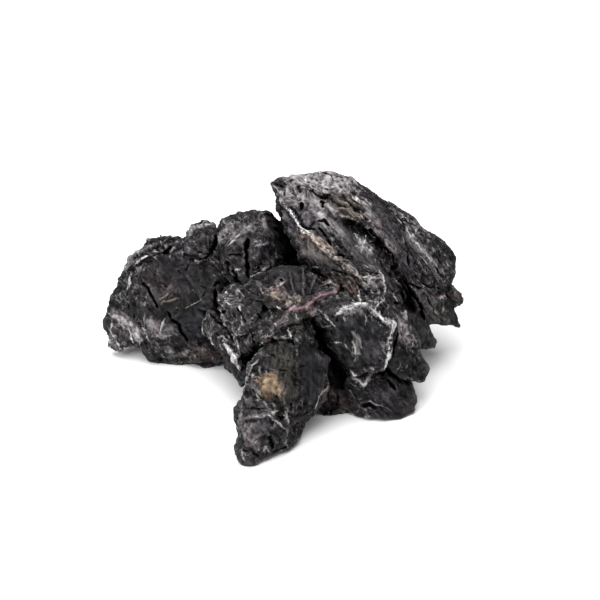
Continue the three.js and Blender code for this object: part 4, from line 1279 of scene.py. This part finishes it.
def sheltered(stone):
    """The share of the sky that the stone itself hides from each corner, from 0 to 1."""
    surface = BVHTree.FromObject(stone, bpy.context.evaluated_depsgraph_get())
    points, outward = vertex_places(stone.data), vertex_normals(stone.data)
    sparse = np.arange(0, len(points), SKY_STRIDE)
    hidden = np.zeros(len(sparse))
    for n, (place, normal) in enumerate(zip(points[sparse] * MM, outward[sparse])):
        facing = SKY_DIRECTIONS @ normal
        above = facing > SKY_GRAZING
        start = Vector(place + normal * SKY_START)
        blocked = [
            surface.ray_cast(start, Vector(direction), SKY_REACH)[0] is not None
            for direction in SKY_DIRECTIONS[above]
        ]
        hidden[n] = np.dot(blocked, facing[above]) / facing[above].sum()
    tree = searchable(points[sparse])
    shares = np.empty(len(points))
    for n, place in enumerate(points):
        near = tree.find_n(place, SKY_NEIGHBOURS)
        weights = [1 / (distance + SKY_BLUR) for _, _, distance in near]
        shares[n] = np.dot(weights, [hidden[index] for _, index, _ in near]) / sum(weights)
    return shares


def set_values(mesh, name, values):
    """Stores one number for each corner of the mesh."""
    attribute = mesh.attributes.get(name) or mesh.attributes.new(name, "FLOAT", "POINT")
    attribute.data.foreach_set("value", values.astype(np.float32))


def map_minerals(stone, surface):
    """Stores how close each corner is to every mineral's veins and patches. The distance is negative
    on one side of a path, so that it passes through nought on the path between two corners."""
    points = vertex_places(stone.data)
    for mineral, marks in MARKINGS.items():
        distance, side, width, strength = nearest(surface, marks, points)
        across = distance / (width / 2)
        amount = strength * smooth((MINERAL_REACH - across) / MINERAL_FADE)
        set_values(stone.data, mineral + " across", np.clip(side * across, -MINERAL_FAR, MINERAL_FAR))
        set_values(stone.data, mineral + " amount", amount)


def stretched(tree, place, axes, lengths):
    """The place along three axes, in units of three lengths in mm, for patterns that are drawn out."""
    spans = [
        add(tree, "ShaderNodeVectorMath", {0: place, 1: axis * per_metre(length)}, operation="DOT_PRODUCT")
        for axis, length in zip(axes, lengths)
    ]
    spans = {n: span.outputs["Value"] for n, span in enumerate(spans)}
    return add(tree, "ShaderNodeCombineXYZ", spans).outputs[0]


def limestone_material(colours):
    """Dark limestone, broken by hand: matt and finely rough, paler where it is worn, crossed by
    white calcite veins that catch the light a little more than the stone does. Painted shade darkens its
    creases, hollows and sheltered places and lays a near-black in its deepest gaps, and painted light
    brightens the tops of lumps and the dome's shaded side."""
    material = bpy.data.materials.new("calcite-veined limestone")
    material.use_nodes = True
    tree = material.node_tree
    tree.nodes.clear()
    place = add(tree, "ShaderNodeTexCoord").outputs["Object"]
    narrow = add(tree, "ShaderNodeAttribute", attribute_name="narrow hollow").outputs["Fac"]
    wide = add(tree, "ShaderNodeAttribute", attribute_name="wide hollow").outputs["Fac"]

    # Tone: softly mottled and streaked, darkening to the crevice colour where the mottle is low
    broad = add(tree, "ShaderNodeTexNoise", {
        "Vector": place, "Scale": per_metre(BROAD_MOTTLE), "Detail": 7.0, "Roughness": 0.62})
    fine = add(tree, "ShaderNodeTexNoise", {
        "Vector": place, "Scale": per_metre(FINE_MOTTLE), "Detail": 5.0, "Roughness": 0.7})
    tone = add(tree, "ShaderNodeMath", {
        0: fine.outputs["Fac"], 1: FINE_SHARE, 2: broad.outputs["Fac"]}, operation="MULTIPLY_ADD")
    for region, axes, lengths in STREAKS:
        streaks = add(tree, "ShaderNodeTexNoise", {
            "Vector": stretched(tree, place, axes, lengths), "Scale": 1.0, "Detail": 4.0, "Roughness": 0.6})
        streaks = add(tree, "ShaderNodeMapRange", {
            "Value": streaks.outputs["Fac"], "From Min": 0.25, "From Max": 0.75,
            "To Min": -0.2, "To Max": 0.2})
        weight = add(tree, "ShaderNodeAttribute", attribute_name=region).outputs["Fac"]
        tone = add(tree, "ShaderNodeMath", {
            0: streaks.outputs[0], 1: weight, 2: tone.outputs[0]}, operation="MULTIPLY_ADD")
    body = add(tree, "ShaderNodeMapRange", {
        "Value": tone.outputs[0], "From Min": 0.36, "From Max": 1.0}, interpolation_type="SMOOTHSTEP")
    colour = add(tree, "ShaderNodeMix", {
        0: body.outputs[0], 6: linear(colours.crevice), 7: linear(colours.limestone)}, data_type="RGBA")

    # Worn, paler grey on the sharpest edges and in a few patches
    rubbed = add(tree, "ShaderNodeMath", {
        0: narrow, 1: EDGE_SHARE, 2: tone.outputs[0]}, operation="MULTIPLY_ADD")
    worn = add(tree, "ShaderNodeMapRange", {
        "Value": rubbed.outputs[0], "From Min": 0.8, "From Max": 1.25}, interpolation_type="SMOOTHSTEP")
    colour = add(tree, "ShaderNodeMix", {
        0: worn.outputs[0], 6: colour.outputs[2], 7: linear(colours.weathered)},
        data_type="RGBA").outputs[2]

    # Broad patches lean to purple or to olive
    lean = add(tree, "ShaderNodeTexNoise", {
        "Vector": place, "Scale": per_metre(LEANING_PATCH), "Detail": 3.0, "Roughness": 0.55})
    lean = add(tree, "ShaderNodeMapRange", {
        "Value": lean.outputs["Fac"], "From Min": 0.4, "From Max": 0.6}, interpolation_type="SMOOTHSTEP")
    tinge = add(tree, "ShaderNodeMix", {
        0: lean.outputs[0], 6: linear(colours.olive_tinge), 7: linear(colours.purple_tinge)},
        data_type="RGBA")
    colour = add(tree, "ShaderNodeMix", {
        0: 1.0, 6: colour, 7: tinge.outputs[2]}, data_type="RGBA", blend_type="MULTIPLY").outputs[2]

    roughness = add(tree, "ShaderNodeMapRange", {
        "Value": fine.outputs["Fac"], "To Min": 0.52, "To Max": 0.8}).outputs[0]

    # Hairline veins all over the stone, in short stretches
    warp = add(tree, "ShaderNodeTexNoise", {
        "Vector": place, "Scale": per_metre(HAIRLINE_BEND), "Detail": 4.0, "Roughness": 0.55})
    gap = add(tree, "ShaderNodeMath", {0: warp.outputs["Fac"], 1: 0.5}, operation="SUBTRACT")
    gap = add(tree, "ShaderNodeMath", {0: gap.outputs[0]}, operation="ABSOLUTE")
    hair = add(tree, "ShaderNodeMapRange", {
        "Value": gap.outputs[0], "From Min": 0.007, "From Max": 0.001}, interpolation_type="SMOOTHSTEP")
    stretch = add(tree, "ShaderNodeTexNoise", {
        "Vector": place, "Scale": per_metre(HAIRLINE_STRETCH), "Detail": 3.0, "Roughness": 0.6})
    stretch = add(tree, "ShaderNodeMapRange", {
        "Value": stretch.outputs["Fac"], "From Min": 0.5, "From Max": 0.62}, interpolation_type="SMOOTHSTEP")
    hair = add(tree, "ShaderNodeMath", {0: hair.outputs[0], 1: stretch.outputs[0]}, operation="MULTIPLY")
    hair = add(tree, "ShaderNodeMath", {0: hair.outputs[0], 1: HAIRLINE_AMOUNT}, operation="MULTIPLY")
    colour = add(tree, "ShaderNodeMix", {
        0: hair.outputs[0], 6: colour, 7: linear(colours.pale_crust)}, data_type="RGBA").outputs[2]

    # Pale grains scattered over the surface, more in some places than in others
    grains = add(tree, "ShaderNodeTexNoise", {
        "Vector": place, "Scale": per_metre(PALE_GRAIN), "Detail": 3.0, "Roughness": 0.55})
    crowd = add(tree, "ShaderNodeMath", {
        0: stretch.outputs[0], 1: GRAIN_CROWDING, 2: grains.outputs["Fac"]}, operation="MULTIPLY_ADD")
    grains = add(tree, "ShaderNodeMapRange", {
        "Value": crowd.outputs[0], "From Min": 0.69, "From Max": 0.78, "To Max": 0.45},
        interpolation_type="SMOOTHSTEP")
    colour = add(tree, "ShaderNodeMix", {
        0: grains.outputs[0], 6: colour, 7: linear(colours.pale_crust)}, data_type="RGBA").outputs[2]

    # Where it crumbles, the stone is specked with black and marbled with pale streaks in clusters
    crumbly = add(tree, "ShaderNodeAttribute", attribute_name="crumbled").outputs["Fac"]
    specks = add(tree, "ShaderNodeTexNoise", {
        "Vector": place, "Scale": per_metre(BLACK_SPECK), "Detail": 4.0, "Roughness": 0.65})
    specks = add(tree, "ShaderNodeMath", {
        0: crumbly, 1: SPECK_CRUMBLING, 2: specks.outputs["Fac"]}, operation="MULTIPLY_ADD")
    specks = add(tree, "ShaderNodeMapRange", {
        "Value": specks.outputs[0], "From Min": 0.4, "From Max": 0.3, "To Max": 0.85},
        interpolation_type="SMOOTHSTEP")
    colour = add(tree, "ShaderNodeMix", {
        0: specks.outputs[0], 6: colour, 7: linear(colours.crevice)}, data_type="RGBA").outputs[2]
    marbling = add(tree, "ShaderNodeTexNoise", {
        "Vector": stretched(tree, place, SLAB_AXES, MARBLING_SPANS), "Scale": 1.0, "Detail": 6.0,
        "Roughness": 0.7, "Distortion": 0.3})
    cluster = add(tree, "ShaderNodeTexNoise", {
        "Vector": place, "Scale": per_metre(MARBLING_CLUSTER), "Detail": 2.0, "Roughness": 0.5})
    cluster = add(tree, "ShaderNodeMapRange", {
        "Value": cluster.outputs["Fac"], "From Min": 0.35, "From Max": 0.65,
        "To Min": -0.06, "To Max": 0.06})
    marbling = add(tree, "ShaderNodeMath", {
        0: marbling.outputs["Fac"], 1: cluster.outputs[0]}, operation="ADD")
    pale = add(tree, "ShaderNodeMath", {
        0: crumbly, 1: MARBLING_CRUMBLING, 2: marbling.outputs[0]}, operation="MULTIPLY_ADD")
    # Fewer pale streaks in wide hollows: a slight painted shade
    pale = add(tree, "ShaderNodeMath", {
        0: wide, 1: MARBLING_HOLLOW_SHADE, 2: pale.outputs[0]}, operation="MULTIPLY_ADD")
    pale = add(tree, "ShaderNodeMapRange", {
        "Value": pale.outputs[0], "From Min": 0.65, "From Max": 0.88, "To Max": 0.6},
        interpolation_type="SMOOTHSTEP")
    colour = add(tree, "ShaderNodeMix", {
        0: pale.outputs[0], 6: colour, 7: linear(colours.pale_crust)}, data_type="RGBA").outputs[2]

    # The minerals, each with a ragged edge and barer places, from the widest to the finest; one of them is
    # painted shade, a near-black laid in the deepest gaps, and one grey patch is painted light
    patchy = add(tree, "ShaderNodeTexNoise", {
        "Vector": place, "Scale": per_metre(MINERAL_PATCH), "Detail": 6.0, "Roughness": 0.75})
    for mineral, look in MINERALS.items():
        across = add(tree, "ShaderNodeAttribute", attribute_name=mineral + " across").outputs["Fac"]
        amount = add(tree, "ShaderNodeAttribute", attribute_name=mineral + " amount").outputs["Fac"]
        edge = add(tree, "ShaderNodeTexNoise", {
            "Vector": place, "Scale": per_metre(look.grain), "Detail": 5.0, "Roughness": 0.62})
        shift = add(tree, "ShaderNodeMapRange", {
            "Value": edge.outputs["Fac"], "From Min": 0.3, "From Max": 0.7,
            "To Min": -look.ragged, "To Max": look.ragged})
        size = add(tree, "ShaderNodeMath", {0: across}, operation="ABSOLUTE")
        size = add(tree, "ShaderNodeMath", {0: size.outputs[0], 1: shift.outputs[0]}, operation="ADD")
        mask = add(tree, "ShaderNodeMapRange", {
            "Value": size.outputs[0], "From Min": MINERAL_EDGE + look.soft,
            "From Max": MINERAL_EDGE - look.soft},
            interpolation_type="SMOOTHSTEP")
        mask = add(tree, "ShaderNodeMath", {0: mask.outputs[0], 1: amount}, operation="MULTIPLY")
        mottled = add(tree, "ShaderNodeMapRange", {
            "Value": patchy.outputs["Fac"], "From Min": 0.34, "From Max": 0.62, "To Min": look.bare})
        mask = add(tree, "ShaderNodeMath", {0: mask.outputs[0], 1: mottled.outputs[0]}, operation="MULTIPLY")
        tint = linear(getattr(colours, mineral.replace(" ", "_")))
        colour = add(tree, "ShaderNodeMix", {
            0: mask.outputs[0], 6: colour, 7: tint}, data_type="RGBA").outputs[2]

    # Painted shade over every mineral in narrow creases and pits, in wide hollows and where the stone hides
    # the sky; painted light on the tops of lumps; and paler sharp edges, partly wear and partly painted
    # highlight
    cover = add(tree, "ShaderNodeAttribute", attribute_name="sheltered").outputs["Fac"]
    # Painted shade in narrow creases and pits, and paler sharp edges, partly wear and partly painted
    # highlight
    edged = add(tree, "ShaderNodeMapRange", {
        "Value": narrow, "From Min": -0.3, "From Max": 0.3, "To Min": 1.25, "To Max": 0.35})
    # Painted shade in wide hollows and painted light on the tops of lumps
    hollow = add(tree, "ShaderNodeMapRange", {
        "Value": wide, "From Min": -1.6, "From Max": 1.6, "To Min": 1.15, "To Max": 0.5})
    # Painted shade where the stone hides much of the sky from a place
    occlusion_shade = add(tree, "ShaderNodeMapRange", {
        "Value": cover, "From Min": 0.3, "From Max": 0.65, "To Min": 1.0, "To Max": 0.25})
    shade = add(tree, "ShaderNodeMath", {0: edged.outputs[0], 1: occlusion_shade.outputs[0]}, operation="MULTIPLY")
    shade = add(tree, "ShaderNodeMath", {0: shade.outputs[0], 1: hollow.outputs[0]}, operation="MULTIPLY")
    colour = add(tree, "ShaderNodeVectorMath", {
        0: colour, "Scale": shade.outputs[0]}, operation="SCALE").outputs[0]
    gleam = add(tree, "ShaderNodeMath", {0: shade.outputs[0], 1: GLEAM}, operation="MULTIPLY")

    # A fine grit roughens the surface
    gritty = add(tree, "ShaderNodeTexNoise", {
        "Vector": place, "Scale": per_metre(GRIT), "Detail": 4.0, "Roughness": 0.7})
    bump = add(tree, "ShaderNodeBump", {
        "Height": gritty.outputs["Fac"], "Strength": 0.5, "Distance": GRIT_HEIGHT})
    shader = add(tree, "ShaderNodeBsdfPrincipled", {
        "Base Color": colour, "Roughness": roughness, "IOR": 1.5, "Specular IOR Level": gleam.outputs[0],
        "Normal": bump.outputs[0]})
    add(tree, "ShaderNodeOutputMaterial", {"Surface": shader.outputs[0]})
    return material


def paper_material(settings):
    """White matt background paper: an even, soft white with no gloss."""
    material = bpy.data.materials.new("matt background paper")
    material.use_nodes = True
    shader = material.node_tree.nodes["Principled BSDF"]
    shader.inputs["Base Color"].default_value = linear(settings.floor)
    shader.inputs["Roughness"].default_value = 0.9
    return material


class ROCK_OT_stone(bpy.types.Operator):
    """Breaks the stone's surface and gives it its minerals"""

    bl_idname = "rock.stone"
    bl_label = "Build the stone"

    def execute(self, context):
        stone, surface = fine_mesh(context.scene.stone_sizes)
        set_values(stone.data, "narrow hollow", sunk(stone.data, NARROW_ROUNDS))
        set_values(stone.data, "wide hollow", sunk(stone.data, WIDE_ROUNDS))
        set_values(stone.data, "sheltered", sheltered(stone))
        points = vertex_places(stone.data)
        for region, weights in regions(points, surface).items():
            set_values(stone.data, region, weights)
        map_minerals(stone, surface)
        stone.data.materials.clear()
        stone.data.materials.append(limestone_material(context.scene.stone_colours))
        stone.data.shade_smooth()
        stone.data.set_sharp_from_angle(angle=SHARP_EDGE)
        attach(stone, "root")
        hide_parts("rock")
        return {"FINISHED"}


class ROCK_OT_stage(bpy.types.Operator):
    """Sets the floor, the lights and the camera"""

    bl_idname = "rock.stage"
    bl_label = "Set the stage"

    def execute(self, context):
        settings = context.scene.rock_stage
        half = settings.floor_side / 2
        mesh = bpy.data.meshes.new("floor")
        corners = [(-half, -half, 0), (half, -half, 0), (half, half, 0), (-half, half, 0)]
        mesh.from_pydata(corners, [], [(0, 1, 2, 3)])
        mesh.materials.append(paper_material(settings))
        floor = bpy.data.objects.new("floor", mesh)
        context.scene.collection.objects.link(floor)
        self.add_light(context, "overhead", settings.overhead, OVERHEAD_SIDE, OVERHEAD_PLACE)
        self.add_light(context, "left", settings.side, LEFT_SIDE, LEFT_PLACE)
        self.add_surround(context, settings.surround)
        self.add_camera(context)
        context.scene.view_settings.view_transform = "Standard"
        return {"FINISHED"}

    def add_light(self, context, name, power, side, place):
        """A square soft light that faces the stone's middle."""
        lamp = bpy.data.lights.new(name, "AREA")
        lamp.energy = power
        lamp.size = side
        light = bpy.data.objects.new(name, lamp)
        light.location = place
        light.rotation_euler = (VIEW_MIDDLE - Vector(place)).to_track_quat("-Z", "Y").to_euler()
        context.scene.collection.objects.link(light)

    def add_surround(self, context, strength):
        """Even white light from all round."""
        world = bpy.data.worlds.new("surround")
        world.use_nodes = True
        background = world.node_tree.nodes["Background"]
        background.inputs["Color"].default_value = (1, 1, 1, 1)
        background.inputs["Strength"].default_value = strength
        context.scene.world = world

    def add_camera(self, context):
        """The front view, with the stone where the picture has it."""
        lens = bpy.data.cameras.new("front view")
        lens.lens = VIEW_LENS
        lens.sensor_width = VIEW_SENSOR
        lens.shift_x = 0.5 - MIDDLE_PIXEL[0] / PICTURE_SIDE
        lens.shift_y = MIDDLE_PIXEL[1] / PICTURE_SIDE - 0.5
        camera = bpy.data.objects.new("front view", lens)
        camera.location = VIEW_MIDDLE + VIEW_NEAR * VIEW_DISTANCE
        camera.rotation_euler = (-VIEW_NEAR).to_track_quat("-Z", "Y").to_euler()
        context.scene.collection.objects.link(camera)
        context.scene.camera = camera


class ROCK_PT_panel(bpy.types.Panel):
    """The rock's sizes, colours and stage"""

    bl_label = "Rock"
    bl_idname = "ROCK_PT_panel"
    bl_space_type = "VIEW_3D"
    bl_region_type = "UI"
    bl_category = "Rock"

    def draw(self, context):
        for group in (context.scene.stone_sizes, context.scene.stone_colours, context.scene.rock_stage):
            box = self.layout.box()
            for name in group.__annotations__:
                box.prop(group, name)
        self.layout.operator(ROCK_OT_stone.bl_idname)
        self.layout.operator(ROCK_OT_stage.bl_idname)


CLASSES = (StoneSizes, StoneColours, StageSettings, ROCK_OT_stone, ROCK_OT_stage, ROCK_PT_panel)


def register():
    for cls in CLASSES:
        bpy.utils.register_class(cls)
    bpy.types.Scene.stone_sizes = bpy.props.PointerProperty(type=StoneSizes)
    bpy.types.Scene.stone_colours = bpy.props.PointerProperty(type=StoneColours)
    bpy.types.Scene.rock_stage = bpy.props.PointerProperty(type=StageSettings)


def unregister():
    del bpy.types.Scene.rock_stage
    del bpy.types.Scene.stone_colours
    del bpy.types.Scene.stone_sizes
    for cls in reversed(CLASSES):
        bpy.utils.unregister_class(cls)


def main():
    register()
    bpy.ops.rock.stone()
    bpy.ops.rock.stage()


if __name__ == "__main__":
    main()
